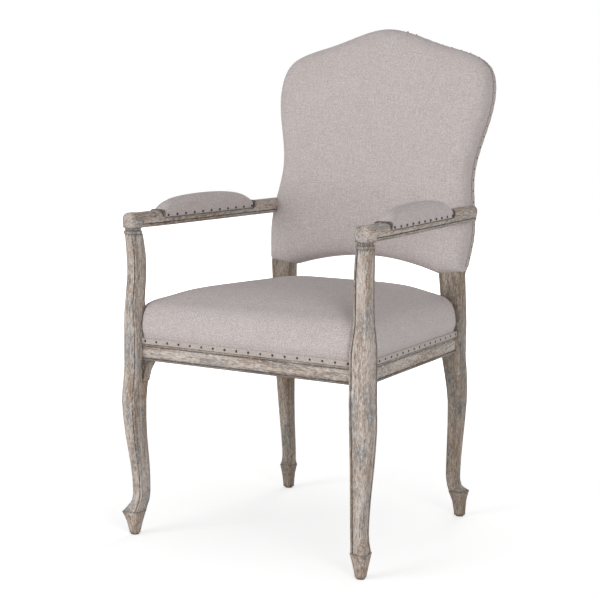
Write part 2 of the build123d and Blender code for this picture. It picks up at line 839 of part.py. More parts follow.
pad_end = pad_start + pad_length
core_width = arm_width - 2 * pad_rebate
arm_stations = [
    (0, arm_neck_width),
    (pad_start * 0.4, arm_neck_width),
    (pad_start * 0.7, (arm_neck_width + arm_width) / 2),
    (pad_start, arm_width),
    (pad_start + stop_width, arm_width),
    (arm_length + frame_depth, arm_width),
]
with BuildPart() as arm_right:
    add(faceted([arm_ring(*row) for row in smooth(arm_stations, station_parts)]))
    for place in (pad_start - stop_width, pad_end):
        extrude(eased_square(across_arm(place), 0, (pad_base + arm_height + stop_proud) / 2,
                             arm_width + 2 * stop_proud, arm_height + stop_proud - pad_base,
                             arm_top_round * 0.7), amount=stop_width)
    with BuildSketch(across_arm(pad_start)):
        with Locations((0, arm_height)):
            Rectangle(2 * arm_width, 2 * (arm_height - pad_base))
            Rectangle(core_width, 2 * (arm_height - pad_base), mode=Mode.SUBTRACT)
    extrude(amount=pad_length, mode=Mode.SUBTRACT)
    split(bisect_by=back_plane.offset(1.0), keep=Keep.TOP)
    add(faceted(knuckle_rings))
    add(rear_leg_right.part, mode=Mode.SUBTRACT)
    extrude(post_tenon(joint_clearance), amount=post_tenon_length + joint_clearance, mode=Mode.SUBTRACT)
    add(arm_screw_hole.part, mode=Mode.SUBTRACT)

with BuildPart() as arm_left:
    mirror(arm_right.part, about=Plane.YZ)


# Arm pads: cloth over foam, drawn along the arm as a crowned loft
def pad_ring(share, crown_share, skin):
    """Pad section at a share of the pad's length, with its crown at a share of the full height."""
    half = pad_width / 2 - skin
    top = pad_base + pad_crown * crown_share - skin
    side = pad_base + (top - pad_base) * 0.6
    run = pad_length - 2 * soft_gap - 2 * skin
    arch = [(half, pad_base)]
    for step in range(pad_facets + 1):
        turn = math.pi * step / pad_facets
        arch.append((half * math.cos(turn), side + (top - side) * math.sin(turn)))
    arch.append((-half, pad_base))
    plane = across_arm(pad_start + soft_gap + skin + run * share)
    return [tuple(plane.from_local_coords((x, y, 0))) for x, y in arch]


pad_stations = [(0, 0.4), (0.04, 0.54), (0.1, 0.71), (0.2, 0.89), (0.31, 0.97), (0.42, 1.0), (0.55, 0.985),
                (0.68, 0.93), (0.8, 0.8), (0.9, 0.61), (0.96, 0.46), (1, 0.34)]


def pad_solid(skin):
    """The pad with its surface moved in by skin."""
    return faceted([pad_ring(share, crown, skin) for share, crown in pad_stations])


with BuildPart() as pad_core_room:
    with BuildSketch(across_arm(pad_start)):
        Rectangle(core_width + 2 * soft_gap, 2 * (arm_height + soft_gap))
    extrude(amount=pad_length)

with BuildPart() as arm_pad_cover_right:
    add(pad_solid(0))
    add(pad_solid(cloth), mode=Mode.SUBTRACT)
    add(pad_core_room.part, mode=Mode.SUBTRACT)

with BuildPart() as arm_pad_foam_right:
    add(pad_solid(cloth + soft_gap))
    add(pad_core_room.part, mode=Mode.SUBTRACT)

with BuildPart() as arm_pad_cover_left:
    mirror(arm_pad_cover_right.part, about=Plane.YZ)

with BuildPart() as arm_pad_foam_left:
    mirror(arm_pad_foam_right.part, about=Plane.YZ)


# Seat cushion: lofted through rounded outlines, swelling over the rails and drawn in to the crown
def post_notches(low, high, clearance, rear_front):
    """Room for the four posts between two heights, open to the outside of the corners."""
    outer = 3 * front_block
    with BuildPart() as notches:
        with BuildSketch(Plane.XY.offset(low)):
            for side in (-1, 1):
                inner = front_span - clearance
                with Locations((side * (inner + outer / 2), front_post_face + clearance - outer / 2)):
                    Rectangle(outer, outer)
                inner = min(rear_span, stile_inner_x) - clearance
                with Locations((side * (inner + outer / 2), rear_front - clearance + outer / 2)):
                    Rectangle(outer, outer)
        extrude(amount=high - low)
    return notches.part


stile_front = stile_y - stile_forward - stile_depth / 2
skirt_face = rebate_depth - cloth
trim_top = trim_bottom + trim_height


def cushion(skin):
    """The seat cushion with its surface moved in by skin and room for the posts."""
    rings = [seat_ring(trim_top, skirt_face + skin, seat_corner)]
    for step in range(seat_steps + 1):
        rise = math.sin(math.radians(90 * step / seat_steps))
        draw_in = 1 - (1 - rise**seat_fullness) ** (1 / seat_fullness)
        height = trim_top + seat_bulge_height + (seat_crown - seat_bulge_height - skin) * rise
        inset = seat_crown_reach * draw_in - seat_bulge
        rings.append(seat_ring(height, inset + skin, seat_corner + inset * seat_corner_growth))
    with BuildPart() as body:
        add(faceted(rings))
        add(post_notches(trim_bottom, trim_top + 2 * seat_crown, post_gap + skin, stile_front),
            mode=Mode.SUBTRACT)
    return body.part


with BuildPart() as seat_cover:
    add(cushion(0))
    add(cushion(cloth), mode=Mode.SUBTRACT)
    extrude(seat_sketch(trim_bottom, skirt_face), amount=trim_height)
    extrude(seat_sketch(trim_bottom, rebate_depth), amount=rail_top + soft_gap - trim_bottom,
            mode=Mode.SUBTRACT)
    add(post_notches(trim_bottom, trim_top, post_gap, rear_post_face), mode=Mode.SUBTRACT)

foam_base = rail_top + 2 * strap_thickness + 2 * soft_gap
with BuildPart() as seat_foam:
    add(cushion(cloth + soft_gap))
    split(bisect_by=Plane.XY.offset(foam_base), keep=Keep.TOP)

with BuildPart() as seat_trim:
    extrude(seat_sketch(trim_bottom, skirt_face - trim_thickness), amount=trim_height)
    extrude(seat_sketch(trim_bottom, skirt_face), amount=trim_height, mode=Mode.SUBTRACT)
    add(post_notches(trim_bottom, trim_top, soft_gap, rear_post_face), mode=Mode.SUBTRACT)

with BuildPart() as seat_dust_cover:
    extrude(seat_sketch(rail_bottom - dust_cover_thickness, dust_cover_inset), amount=dust_cover_thickness)
    add(post_notches(rail_bottom - dust_cover_thickness, rail_bottom, post_gap + knee_ear, rear_post_face),
        mode=Mode.SUBTRACT)


# Webbing of the seat, woven over and under
def woven_strap(plane, start, end, crossings, first):
    """Side view of a strap that lies on both rails and rises over every second crossing."""
    edge = strap_width / 2
    lower = [(start, 0), (start + rail_thickness * 0.7, 0)]
    for count, crossing in enumerate(crossings):
        lift = (strap_thickness + soft_gap) * ((count + first) % 2)
        lower += [(crossing - edge, lift), (crossing + edge, lift)]
    lower += [(end - rail_thickness * 0.7, 0), (end, 0)]
    upper = [(along, level + strap_thickness) for along, level in reversed(lower)]
    with BuildSketch(plane) as view:
        with BuildLine():
            Polyline(*lower, *upper, close=True)
        make_face()
    return view.sketch


strap_margin = rebate_depth + 3
long_pitch = 2 * rear_span / strap_count
cross_pitch = (rear_inner_y - front_inner_y) / strap_count
long_places = [long_pitch * (count - (strap_count - 1) / 2) for count in range(strap_count)]
cross_places = [front_inner_y + cross_pitch * (count + 0.5) for count in range(strap_count)]
with BuildPart() as seat_webbing:
    for count, x in enumerate(long_places):
        run = Plane(origin=(x, 0, rail_top), x_dir=(0, 1, 0), z_dir=(1, 0, 0))
        view = woven_strap(run, front_face_y + strap_margin, rear_face_y - strap_margin, cross_places, count)
        extrude(view, amount=strap_width / 2, both=True)
    for count, y in enumerate(cross_places):
        run = Plane(origin=(0, y, rail_top), x_dir=(1, 0, 0), z_dir=(0, -1, 0))
        reach = side_x(y + strap_width / 2, strap_margin)
        view = woven_strap(run, -reach, reach, long_places, count + 1)
        extrude(view, amount=strap_width / 2, both=True)


# Back upholstery: front with a soft round edge, open behind, closed by the outside panel
def back_pad(skin, rear):
    """The padded back from a rear level forwards, with its surface moved in by skin."""
    front = frame_front + back_pad_depth
    rings = [back_ring(skin, rear)]
    for step in range(back_steps + 1):
        rise = math.sin(math.radians(90 * step / back_steps))
        draw_in = 1 - (1 - rise**back_fullness) ** (1 / back_fullness)
        level = front - back_edge_rise + (back_edge_rise - skin) * rise
        rings.append(back_ring(skin + back_edge_reach * draw_in, level))
    return faceted(rings)


stile_room = stile_overlap + stile_depth * math.sin(rake)
with BuildPart() as back_notches:
    for side in (-1, 1):
        with BuildSketch(back_plane.offset(-2 * frame_depth)):
            with Locations((side * (stile_inner_x + reach_out - soft_gap) / 2, stile_room - 50)):
                Rectangle(reach_out - stile_inner_x + soft_gap, 100)
        extrude(amount=2 * frame_depth + stile_depth / 2 + stile_forward + post_gap)

with BuildPart() as arm_room_right:
    with BuildSketch(across_arm(pad_end + stop_width + 2)):
        with Locations((0, arm_height / 2)):
            Rectangle(arm_width + 2, arm_height + 2)
    extrude(amount=arm_length + frame_depth - pad_end)
    split(bisect_by=back_plane.offset(0.5), keep=Keep.TOP)

with BuildPart() as arm_rooms:
    add(arm_room_right.part)
    mirror(arm_room_right.part, about=Plane.YZ)

with BuildPart() as back_cover:
    add(back_pad(0, -frame_front))
    add(back_pad(cloth, -2 * frame_depth), mode=Mode.SUBTRACT)
    add(back_notches.part, mode=Mode.SUBTRACT)
    add(arm_rooms.part, mode=Mode.SUBTRACT)

with BuildPart() as back_foam:
    add(back_pad(cloth + soft_gap, -frame_front))
    split(bisect_by=back_plane.offset(frame_front + strap_thickness + soft_gap), keep=Keep.TOP)
    add(back_notches.part, mode=Mode.SUBTRACT)
    add(arm_rooms.part, mode=Mode.SUBTRACT)

with BuildPart() as back_webbing:
    with BuildSketch(back_plane.offset(frame_front)):
        pitch = (crest_joint - lower_rail_top) / back_strap_count
        for count in range(back_strap_count):
            with Locations((0, lower_rail_top + pitch * (count + 0.5))):
                Rectangle(2 * (stile_inner_x + 20), strap_width)
    extrude(amount=strap_thickness)

with BuildPart() as outside_back_panel:
    extrude(back_outline(0, -frame_front - panel_thickness), amount=panel_thickness)
    add(back_notches.part, mode=Mode.SUBTRACT)

with BuildPart() as back_trim:
    extrude(back_outline(-back_trim_thickness, -frame_front), amount=trim_height)
    extrude(back_outline(-joint_clearance, -frame_front), amount=trim_height, mode=Mode.SUBTRACT)
    extrude(back_window(-reach_out, reach_out, -reach_out, stile_room), amount=frame_depth, both=True,
            mode=Mode.SUBTRACT)


# Dome nails
def nail_heads(planes):
    """A nail head on each plane, low and pointed in the middle, as one group of separate solids."""
    with BuildPart() as heads:
        for plane in planes:
            tip = tuple(plane.from_local_coords((0, 0, nail_dome)))
            rim = []
            for step in range(nail_facets):
                turn = 2 * math.pi * step / nail_facets
                rim.append(tuple(plane.from_local_coords((nail_head / 2 * math.cos(turn),
                                                          nail_head / 2 * math.sin(turn), 0))))
            faces = [Face(Wire.make_polygon(list(reversed(rim)), close=True))]
            for index in range(nail_facets):
                faces.append(Face(Wire.make_polygon([rim[index - 1], rim[index], tip], close=True)))
            add(Solid(Shell(faces)))
    return heads.part


def nail_row(start, end, outward):
    """Planes for nails spaced evenly from one point to another, all facing outward."""
    run = Vector(end) - Vector(start)
    steps = max(1, round(run.length / nail_spacing))
    return [
        Plane(origin=Vector(start) + run * (count / steps), x_dir=run, z_dir=outward)
        for count in range(steps + 1)
    ]


nail_level = trim_bottom + trim_height / 2
trim_face = skirt_face - trim_thickness
front_nail_y = front_face_y + trim_face
rear_nail_y = rear_face_y - trim_face
side_start = front_post_face + nail_margin
side_end = rear_post_face - nail_margin
with BuildPart() as seat_nails:
    rows = nail_row((-front_span + nail_margin, front_nail_y, nail_level),
                    (front_span - nail_margin, front_nail_y, nail_level), (0, -1, 0))
    rows += nail_row((rear_span - nail_margin, rear_nail_y, nail_level),
                     (-rear_span + nail_margin, rear_nail_y, nail_level), (0, 1, 0))
    for side in (-1, 1):
        rows += nail_row((side * side_x(side_start, trim_face), side_start, nail_level),
                         (side * side_x(side_end, trim_face), side_end, nail_level),
                         (side, side_slope, 0))
    add(nail_heads(rows))

with BuildPart() as back_nails:
    rows = []
    level = trim_height / 2 - frame_front
    for edge in back_outline(-back_trim_thickness, level).edges():
        place = edge.position_at(0.5)
        outward = edge.tangent_at(0.5).cross(back_plane.z_dir).normalized()
        height = back_plane.to_local_coords(place).Y
        if height > nail_margin + stile_room:
            if outward.dot(place - back_plane.from_local_coords((0, waist_height, 0))) < 0:
                outward = -outward
            rows.append(Plane(origin=place, x_dir=back_plane.z_dir, z_dir=outward))
    add(nail_heads(rows))

with BuildPart() as arm_pad_nails_right:
    rows = []
    for side in (-1, 1):
        ends = [
            arm_plane.from_local_coords((along, side * pad_width / 2, pad_base + nail_head))
            for along in (pad_start + nail_margin, pad_end - nail_margin)
        ]
        rows += nail_row(ends[0], ends[1], arm_inward * side)
    add(nail_heads(rows))

with BuildPart() as arm_pad_nails_left:
    mirror(arm_pad_nails_right.part, about=Plane.YZ)

# Glides under the feet
with BuildPart() as floor_glides:
    for side in (-1, 1):
        for x, y in ((front_leg_x + foot_shift, front_leg_y - foot_shift),
                     (rear_leg_x + rear_foot_x, rear_leg_y + rear_foot_y)):
            with BuildSketch():
                with Locations((side * x, y)):
                    RegularPolygon(glide_diameter / 2, 2 * hidden_facets)
            extrude(amount=glide_height)

pieces = {
    "front_leg_left": front_leg_left,
    "front_leg_right": front_leg_right,
    "rear_leg_left": rear_leg_left,
    "rear_leg_right": rear_leg_right,
    "front_seat_rail": front_seat_rail,
    "rear_seat_rail": rear_seat_rail,
    "left_seat_rail": left_seat_rail,
    "right_seat_rail": right_seat_rail,
    "lower_back_rail": lower_back_rail,
    "crest_rail": crest_rail,
    "back_dowels": back_dowels,
    "arm_left": arm_left,
    "arm_right": arm_right,
    "arm_screws": arm_screws,
    "corner_blocks": corner_blocks,
    "corner_block_screws": corner_block_screws,
    "floor_glides": floor_glides,
    "seat_webbing": seat_webbing,
    "seat_foam": seat_foam,
    "seat_cover": seat_cover,
    "seat_trim": seat_trim,
    "seat_nails": seat_nails,
    "seat_dust_cover": seat_dust_cover,
    "back_webbing": back_webbing,
    "back_foam": back_foam,
    "back_cover": back_cover,
    "outside_back_panel": outside_back_panel,
    "back_trim": back_trim,
    "back_nails": back_nails,
    "arm_pad_foam_left": arm_pad_foam_left,
    "arm_pad_foam_right": arm_pad_foam_right,
    "arm_pad_cover_left": arm_pad_cover_left,
    "arm_pad_cover_right": arm_pad_cover_right,
    "arm_pad_nails_left": arm_pad_nails_left,
    "arm_pad_nails_right": arm_pad_nails_right,
}

os.makedirs("parts", exist_ok=True)
for name, piece in pieces.items():
    piece.part.label = name
    export_step(piece.part, f"parts/{name}.step")
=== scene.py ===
"""Dresses the dining armchair: limed oak, linen upholstery, trim, dome nails and a plain studio."""

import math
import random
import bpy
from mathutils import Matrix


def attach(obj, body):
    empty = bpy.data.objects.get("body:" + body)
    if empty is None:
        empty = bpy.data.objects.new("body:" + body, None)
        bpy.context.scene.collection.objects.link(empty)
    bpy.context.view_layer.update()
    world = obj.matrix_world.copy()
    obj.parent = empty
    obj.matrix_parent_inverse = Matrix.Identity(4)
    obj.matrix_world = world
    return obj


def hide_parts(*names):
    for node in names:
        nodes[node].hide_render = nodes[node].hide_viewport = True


bl_info = {
    "name": "Upholstered dining armchair",
    "version": (1, 0, 0),
    "blender": (4, 5, 0),
    "location": "3D View > Sidebar > Armchair",
    "description": "Linen cushions, trim, nails and limed oak finishes on the chair's solid frame",
    "category": "Object",
}

from contextlib import contextmanager

import bmesh
import bpy
import numpy
from bpy.props import FloatProperty, FloatVectorProperty, IntProperty, PointerProperty
from bpy.types import Operator, Panel, PropertyGroup
from mathutils import Matrix, Vector

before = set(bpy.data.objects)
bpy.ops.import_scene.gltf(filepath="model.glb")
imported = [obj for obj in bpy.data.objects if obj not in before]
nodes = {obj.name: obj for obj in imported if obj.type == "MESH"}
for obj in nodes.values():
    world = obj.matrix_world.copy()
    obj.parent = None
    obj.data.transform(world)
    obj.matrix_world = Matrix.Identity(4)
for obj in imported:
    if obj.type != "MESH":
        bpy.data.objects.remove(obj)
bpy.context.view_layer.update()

MM = 0.001
UPWARD = Vector((0.0, 0.0, 1.0))

# Outlines and sections are in millimetres.
# Seat frame: front and rear faces, front and rear posts, half widths beside and between the posts
FRONT_FACE = -291.0
REAR_FACE = 211.0
FRONT_POST = -266.5
REAR_POST = 179.0
SIDE_FRONT = 278.0
SIDE_REAR = 233.5
SIDE_SLOPE = (SIDE_FRONT - SIDE_REAR) / (REAR_POST - FRONT_POST)
FRONT_SPAN = 253.5
REAR_SPAN = 197.0
STILE_SPAN = 191.0
STILE_FRONT = 169.0
TRIM_BOTTOM = 408.0
TRIM_TOP = 420.0
TRIM_INSET = 2.0
RAIL_BOTTOM = 373.0
RAIL_TOP = 425.0
CORNER_FACETS = 12

# Grid of the seat: centre, rings over the middle and down the side, rings held by the trim, corners
SEAT_CENTRE = (0.0, -42.0)
SEAT_MIDDLE = 15
SEAT_SIDE = 52
SEAT_HELD = 9
SEAT_CORNER = 34.0
CORNER_GROWTH = 0.13
POST_GAP = 1.0

# Back: raked plane, height along it, depth of the frame behind it, half width, shoulders, lower arch
RAKE = math.radians(11.0)
BACK_ORIGIN = Vector((0.0, 191.0, 545.0))
BACK_FORWARD = Vector((0.0, -math.cos(RAKE), math.sin(RAKE)))
BACK_UP = Vector((0.0, math.sin(RAKE), math.cos(RAKE)))
BACK_HEIGHT = (1070.0 - 3.9 - BACK_ORIGIN.z) / math.cos(RAKE)
BACK_DEPTH = 14.0
BACK_HALF = 264.0
SHOULDER_DROP = 51.0
ARCH_HALF = 190.0
ARCH_TOP = 25.0
ARCH_RISE = 31.0
ARCH_STEPS = 40
BACK_TRIM_START = 7.0 + 38.0 * math.sin(RAKE)

# Grid of the back: centre, rings over the middle and round the edge, and the roundness of the edge
BACK_CENTRE = (0.0, 250.0)
BACK_MIDDLE = 28
BACK_SIDE = 24
EDGE_DEPTH = 30.0
EDGE_POWER = 2.2
EDGE_STEPS = 60

# Arms: top of the right post, direction of the arm, and the pad on the arm's core, with its gap to the
# stops, its ease and slack before filling, the share of its ends that narrow, and the height held below
ARM_HEIGHT = 646.0
POST_SHIFT = 3.5 * math.sqrt(0.5)
POST_TOP = Vector((274.0 + POST_SHIFT, -287.0 - POST_SHIFT, ARM_HEIGHT))
ARM_REAR_Y = BACK_ORIGIN.y + (ARM_HEIGHT + 15.5 - BACK_ORIGIN.z) * math.tan(RAKE)
ARM_ALONG = (Vector((241.0, ARM_REAR_Y, 657.0)) - POST_TOP).normalized()
ARM_INWARD = UPWARD.cross(ARM_ALONG).normalized()
ARM_UP = ARM_ALONG.cross(ARM_INWARD)
PAD_START = 80.0
PAD_LENGTH = 300.0
PAD_BASE = 16.0
PAD_STATIONS = 56
PAD_ARC = 18
PAD_GAP = 0.6
PAD_EASE = 0.8
PAD_SLACK = 2.0
PAD_FLANK = 0.58
PAD_END = 0.035
PAD_NIP = 0.96
PAD_HELD = 8.0
CORE_HALF = 13.0
CORE_TOP = 31.0

# Trim and nails: length of a step, reach of a nail's pull, height of the nails in the trim, and a nail's form
TRIM_STEP = 0.0025
NAIL_PULL = 0.006
NAIL_LEVEL = 0.006
NAIL_SIDES = 14
NAIL_TILT = 0.09
NAIL_DOME = [(1.0, -0.25), (1.0, 0.0), (0.96, 0.24), (0.82, 0.55), (0.58, 0.81), (0.3, 0.95)]
TRIM_SECTION = [(0.1, 0.5), (0.1, 11.5), (1.6, 12.0), (2.5, 11.4), (2.9, 9.8), (3.0, 7.4), (3.0, 4.6),
                (2.9, 2.2), (2.5, 0.6), (1.6, 0.0)]

# Studio: point that the camera and the lamps aim at, half width of the floor, and the camera's film
AIM = Vector((-0.0338, -0.029, 0.4883))
FLOOR_HALF = 9.0
FILM_WIDTH = 36.0
WHITE = (1.0, 1.0, 1.0, 1.0)

# Cloth of a cushion, and the frames over which it is filled
CLOTH = {"quality": 5, "mass": 0.2, "tension_stiffness": 20, "compression_stiffness": 20,
         "shear_stiffness": 8, "bending_stiffness": 1.0, "vertex_group_mass": "held", "use_pressure": True}
FILL_FRAMES = 20


def painted(red, green, blue):
    """A colour read off a paint card, 0 to 255, as linear values with full alpha."""
    linear = []
    for value in (red, green, blue):
        share = value / 255
        linear.append(share / 12.92 if share <= 0.04045 else ((share + 0.055) / 1.055) ** 2.4)
    return (*linear, 1.0)


def length(name, description, default):
    """A size in metres for the sidebar."""
    return FloatProperty(name=name, description=description, default=default, unit="LENGTH")


def angle(name, description, degrees):
    """An angle for the sidebar, from degrees."""
    return FloatProperty(name=name, description=description, default=math.radians(degrees), subtype="ANGLE")


def colour(name, description, default):
    """A colour for the sidebar."""
    return FloatVectorProperty(name=name, description=description, default=default, size=4, min=0.0, max=1.0,
                               subtype="COLOR")


class CushionSizes(PropertyGroup):
    """Sizes of the seat, the back and the arm pads."""

    seat_crown: length("Seat crown", "Height of the seat's middle above the trim", 0.106)
    seat_bulge: length("Seat bulge", "How far the seat swells out over the rails", 0.008)
    seat_dome: length("Seat dome", "Extra height in the middle of the seat", 0.004)
    seat_slack: length("Seat slack", "How much smaller the seat is before it is filled", 0.003)
    back_front: length("Back thickness", "Face of the back in front of the raked plane", 0.048)
    back_edge: length("Back edge", "Width of the back's soft edge", 0.046)
    back_dome: length("Back dome", "Extra thickness in the middle of the back", 0.005)
    pad_width: length("Arm pad width", "Width of an arm pad", 0.037)
    pad_crown: length("Arm pad crown", "Height of an arm pad above its base", 0.046)
    pressure: FloatProperty(name="Filling", description="Pressure of the filling on the cloth", default=4.0,
                            min=0.0, max=20.0, subtype="UNSIGNED")


class TrimSizes(PropertyGroup):
    """Sizes of the trim and the nails."""

    puff: length("Trim puff", "How far the trim puffs out between two nails", 0.0007)
    nail_radius: length("Nail radius", "Radius of a nail's dome", 0.0027)
    nail_height: length("Nail height", "Height of a nail's dome", 0.0017)
    seed: IntProperty(name="Seed", description="Seed of the nails' small irregularities", default=7)


class Finishes(PropertyGroup):
    """Colours of the finishes."""

    linen_light: colour("Linen light", "Pale threads", painted(212, 203, 201))
    linen_dark: colour("Linen dark", "Dark threads", painted(158, 148, 146))
    trim_light: colour("Trim light", "Pale threads of the trim", painted(204, 193, 187))
    trim_dark: colour("Trim dark", "Dark threads of the trim", painted(150, 139, 133))
    oak_pale: colour("Oak pale", "Limed wood", painted(192, 181, 173))
    oak_brown: colour("Oak brown", "Bare wood under the lime", painted(146, 124, 105))
    oak_grey: colour("Oak grey", "Weathered patches", painted(126, 127, 130))
    # The deep colour is also painted as shade in the wood's grooves and along its edges
    oak_deep: colour("Oak deep", "Stain left in grooves and pores", painted(72, 67, 64))
    nail_dark: colour("Nail dark", "Antique nail metal", painted(58, 53, 50))
    nail_worn: colour("Nail worn", "Rubbed top of a nail", painted(112, 104, 96))
    webbing: colour("Webbing", "Jute webbing", painted(150, 128, 96))
    dust_cloth: colour("Dust cloth", "Cloth under the seat", painted(44, 43, 44))
    glide: colour("Glide", "Floor glides", painted(70, 62, 54))
    floor: colour("Floor", "Studio floor", painted(240, 240, 240))


class StudioSizes(PropertyGroup):
    """Camera and light."""

    lens: FloatProperty(name="Lens", description="Focal length", default=91.68, min=10.0, unit="CAMERA")
    distance: length("Distance", "Camera's distance from the chair", 3.2489)
    azimuth: angle("Azimuth", "Camera's turn round the chair", 32.6)
    elevation: angle("Elevation", "Camera's angle above the horizon", 7.2)
    roll: angle("Roll", "Camera's roll", 0.5)
    key: FloatProperty(name="Key light", description="Power of the large front light", subtype="POWER",
                       unit="POWER", default=168.0, min=0.0)
    ambient: FloatProperty(name="Ambient", description="Strength of the light from all round", default=0.47,
                           min=0.0, max=2.0, subtype="FACTOR")


class ArmchairSettings(PropertyGroup):
    """All settings of the armchair."""

    cushions: PointerProperty(type=CushionSizes)
    trims: PointerProperty(type=TrimSizes)
    finishes: PointerProperty(type=Finishes)
    studio: PointerProperty(type=StudioSizes)


def settings():
    """The armchair's settings on the current scene."""
    return bpy.context.scene.armchair


# Outlines
def side_x(y, inset):
    """Half width of the seat at y, moved in by inset."""
    return SIDE_FRONT - SIDE_SLOPE * (y - FRONT_POST) - inset / math.cos(math.atan(SIDE_SLOPE))


def clamped(value):
    """A value kept between 0 and 1."""
    return min(1.0, max(0.0, value))


def rounded(corners, radius):
    """Corners of a closed outline, each replaced by points along a round."""
    points = []
    for index, corner in enumerate(corners):
        here = Vector(corner)
        before = (Vector(corners[index - 1]) - here).normalized()
        after = (Vector(corners[(index + 1) % len(corners)]) - here).normalized()
        half = math.acos(before.dot(after)) / 2
        centre = here + (before + after).normalized() * (radius / math.sin(half))
        start = here + before * (radius / math.tan(half)) - centre
        end = here + after * (radius / math.tan(half)) - centre
        turn = math.pi - 2 * half
        for step in range(CORNER_FACETS + 1):
            share = step / CORNER_FACETS
            spoke = start * math.sin((1 - share) * turn) + end * math.sin(share * turn)
            points.append(centre + spoke / math.sin(turn))
    return points


def four_corners(low_half, low, high_half, high):
    """Corners of a shape with the same half widths on both sides."""
    return [(-low_half, low), (low_half, low), (high_half, high), (-high_half, high)]


def seat_outline(inset, corner):
    """The seat's outline with rounded corners."""
    front = FRONT_FACE + inset
    rear = REAR_FACE - inset
    front_corner, rear_corner = (side_x(front, inset), front), (side_x(rear, inset), rear)
    return rounded([front_corner, rear_corner, (-rear_corner[0], rear), (-front_corner[0], front)], corner)


def curve_through(points, start, end, count):
    """Points along a smooth curve through the given points, with its directions at both ends."""
    knots = numpy.array(points, float)
    spans = numpy.linalg.norm(numpy.diff(knots, axis=0), axis=1)
    size = len(knots)
    system = numpy.zeros((size, size))
    right = numpy.zeros((size, 2))
    system[0, 0] = system[-1, -1] = 1.0
    right[0] = numpy.array(start) / numpy.linalg.norm(start)
    right[-1] = numpy.array(end) / numpy.linalg.norm(end)
    for row in range(1, size - 1):
        before, after = spans[row - 1], spans[row]
        system[row, row - 1] = after
        system[row, row] = 2 * (before + after)
        system[row, row + 1] = before
        right[row] = 3 * (after / before * (knots[row] - knots[row - 1])
                          + before / after * (knots[row + 1] - knots[row]))
    slopes = numpy.linalg.solve(system, right)
    runs = numpy.concatenate(([0.0], numpy.cumsum(spans)))
    places = numpy.linspace(0, runs[-1], count)
    row = numpy.minimum(numpy.searchsorted(runs, places, side="right") - 1, size - 2)
    t = ((places - runs[row]) / spans[row])[:, None]
    curve = knots[row] * (1 + 2 * t) * (1 - t) ** 2 + knots[row + 1] * t * t * (3 - 2 * t)
    curve += spans[row, None] * (slopes[row] * t * (1 - t) ** 2 - slopes[row + 1] * t * t * (1 - t))
    return [(x, y) for x, y in curve.tolist()]


def back_side(inset, count=160):
    """Right half of the back's outline, from the lower corner up to the crest."""
    side = BACK_HALF - inset
    crest = BACK_HEIGHT - inset
    shoulder = crest - SHOULDER_DROP
    points = [
        (241.0 - inset, inset),
        (250.0 - inset, 86.0),
        (235.0 - inset, 216.0),
        (side, 392.0),
        (side - 15.0, shoulder - 34.0),
        (side - 74.0, shoulder),
        (side * 0.5, crest - 35.0),
        (side * 0.24, crest - 12.0),
        (0.0, crest),
    ]
    return curve_through(points, (0.1, 1.0), (-1.0, 0.0), count)


def with_mirror(side):
    """A right half that ends on the middle line, followed by its mirror image."""
    return side + [(-x, y) for x, y in reversed(side[:-1])]


def back_outline(inset):
    """The whole outline of the back on its raked plane."""
    arch = []
    for step in range(ARCH_STEPS + 1):
        across = 1 - 2 * step / ARCH_STEPS
        arch.append(((inset / 2 - ARCH_HALF) * across, inset + ARCH_TOP - ARCH_RISE * across**2))
    return with_mirror(back_side(inset)) + arch


def on_back(x, y, level):
    """A point of the raked plane in the chair's frame, in metres."""
    return (Vector((x, 0.0, 0.0)) + BACK_ORIGIN + BACK_UP * y + BACK_FORWARD * level) * MM


def on_arm(along, across, up, side):
    """A point of an arm in the chair's frame, in metres; side is 1 for the right arm and -1 for the left."""
    place = POST_TOP + ARM_ALONG * along + ARM_INWARD * across + ARM_UP * up
    return Vector((side * place.x, place.y, place.z)) * MM


def dense(points, step):
    """A closed outline with points added so that no two are further apart than step."""
    result = []
    for index, point in enumerate(points):
        here = Vector(point)
        after = Vector(points[(index + 1) % len(points)])
        parts = max(1, math.ceil((after - here).length / step))
        result += [here.lerp(after, part / parts) for part in range(parts)]
    return result


def spread(points, count):
    """Points at equal distances along an open line."""
    line = numpy.array(points, float)
    runs = numpy.concatenate(([0.0], numpy.cumsum(numpy.linalg.norm(numpy.diff(line, axis=0), axis=1))))
    places = numpy.linspace(0, runs[-1], count)
    return list(zip(*(numpy.interp(places, runs, column) for column in line.T)))


def domed(count, edge, level, rise, power=1.0):
    """Rings from the middle of a cover out to its edge, over which its level domes up by rise."""
    shares = [ring / count for ring in range(1, count)]
    return [(edge, share, level + rise * (1 - share**2) ** power) for share in shares]


def back_rings(levels):
    """Rings of the back's outline for a laid grid, from (inset, shrink, level)."""
    outlines = {inset: back_outline(inset) for inset, _, _ in levels}
    return [(outlines[inset], shrink, level) for inset, shrink, level in levels]


def post_room(centre, turn, front, rear):
    """How far a cover reaches in a direction before it meets a post, each given as (half span, line)."""
    across, along = math.cos(turn), math.sin(turn)
    if abs(across) < 1e-6 or abs(along) < 1e-6:
        return math.inf
    span, line = front if along < 0 else rear
    return max(span / abs(across), (line - centre[1]) / along)


def seat_room(centre, turn, level):
    """Room of the seat cushion, which passes the legs under the trim's top and the stiles above it."""
    rear = REAR_POST if level < TRIM_TOP + 1 else STILE_FRONT
    return post_room(centre, turn, (FRONT_SPAN - POST_GAP, FRONT_POST + POST_GAP),
                     (STILE_SPAN - POST_GAP, rear - POST_GAP))


def dust_room(centre, turn, level):
    """Room of the dust cover, which stays clear of all four legs."""
    gap = 12.0
    return post_room(centre, turn, (FRONT_SPAN - gap, FRONT_POST + gap), (REAR_SPAN - gap, REAR_POST - gap))


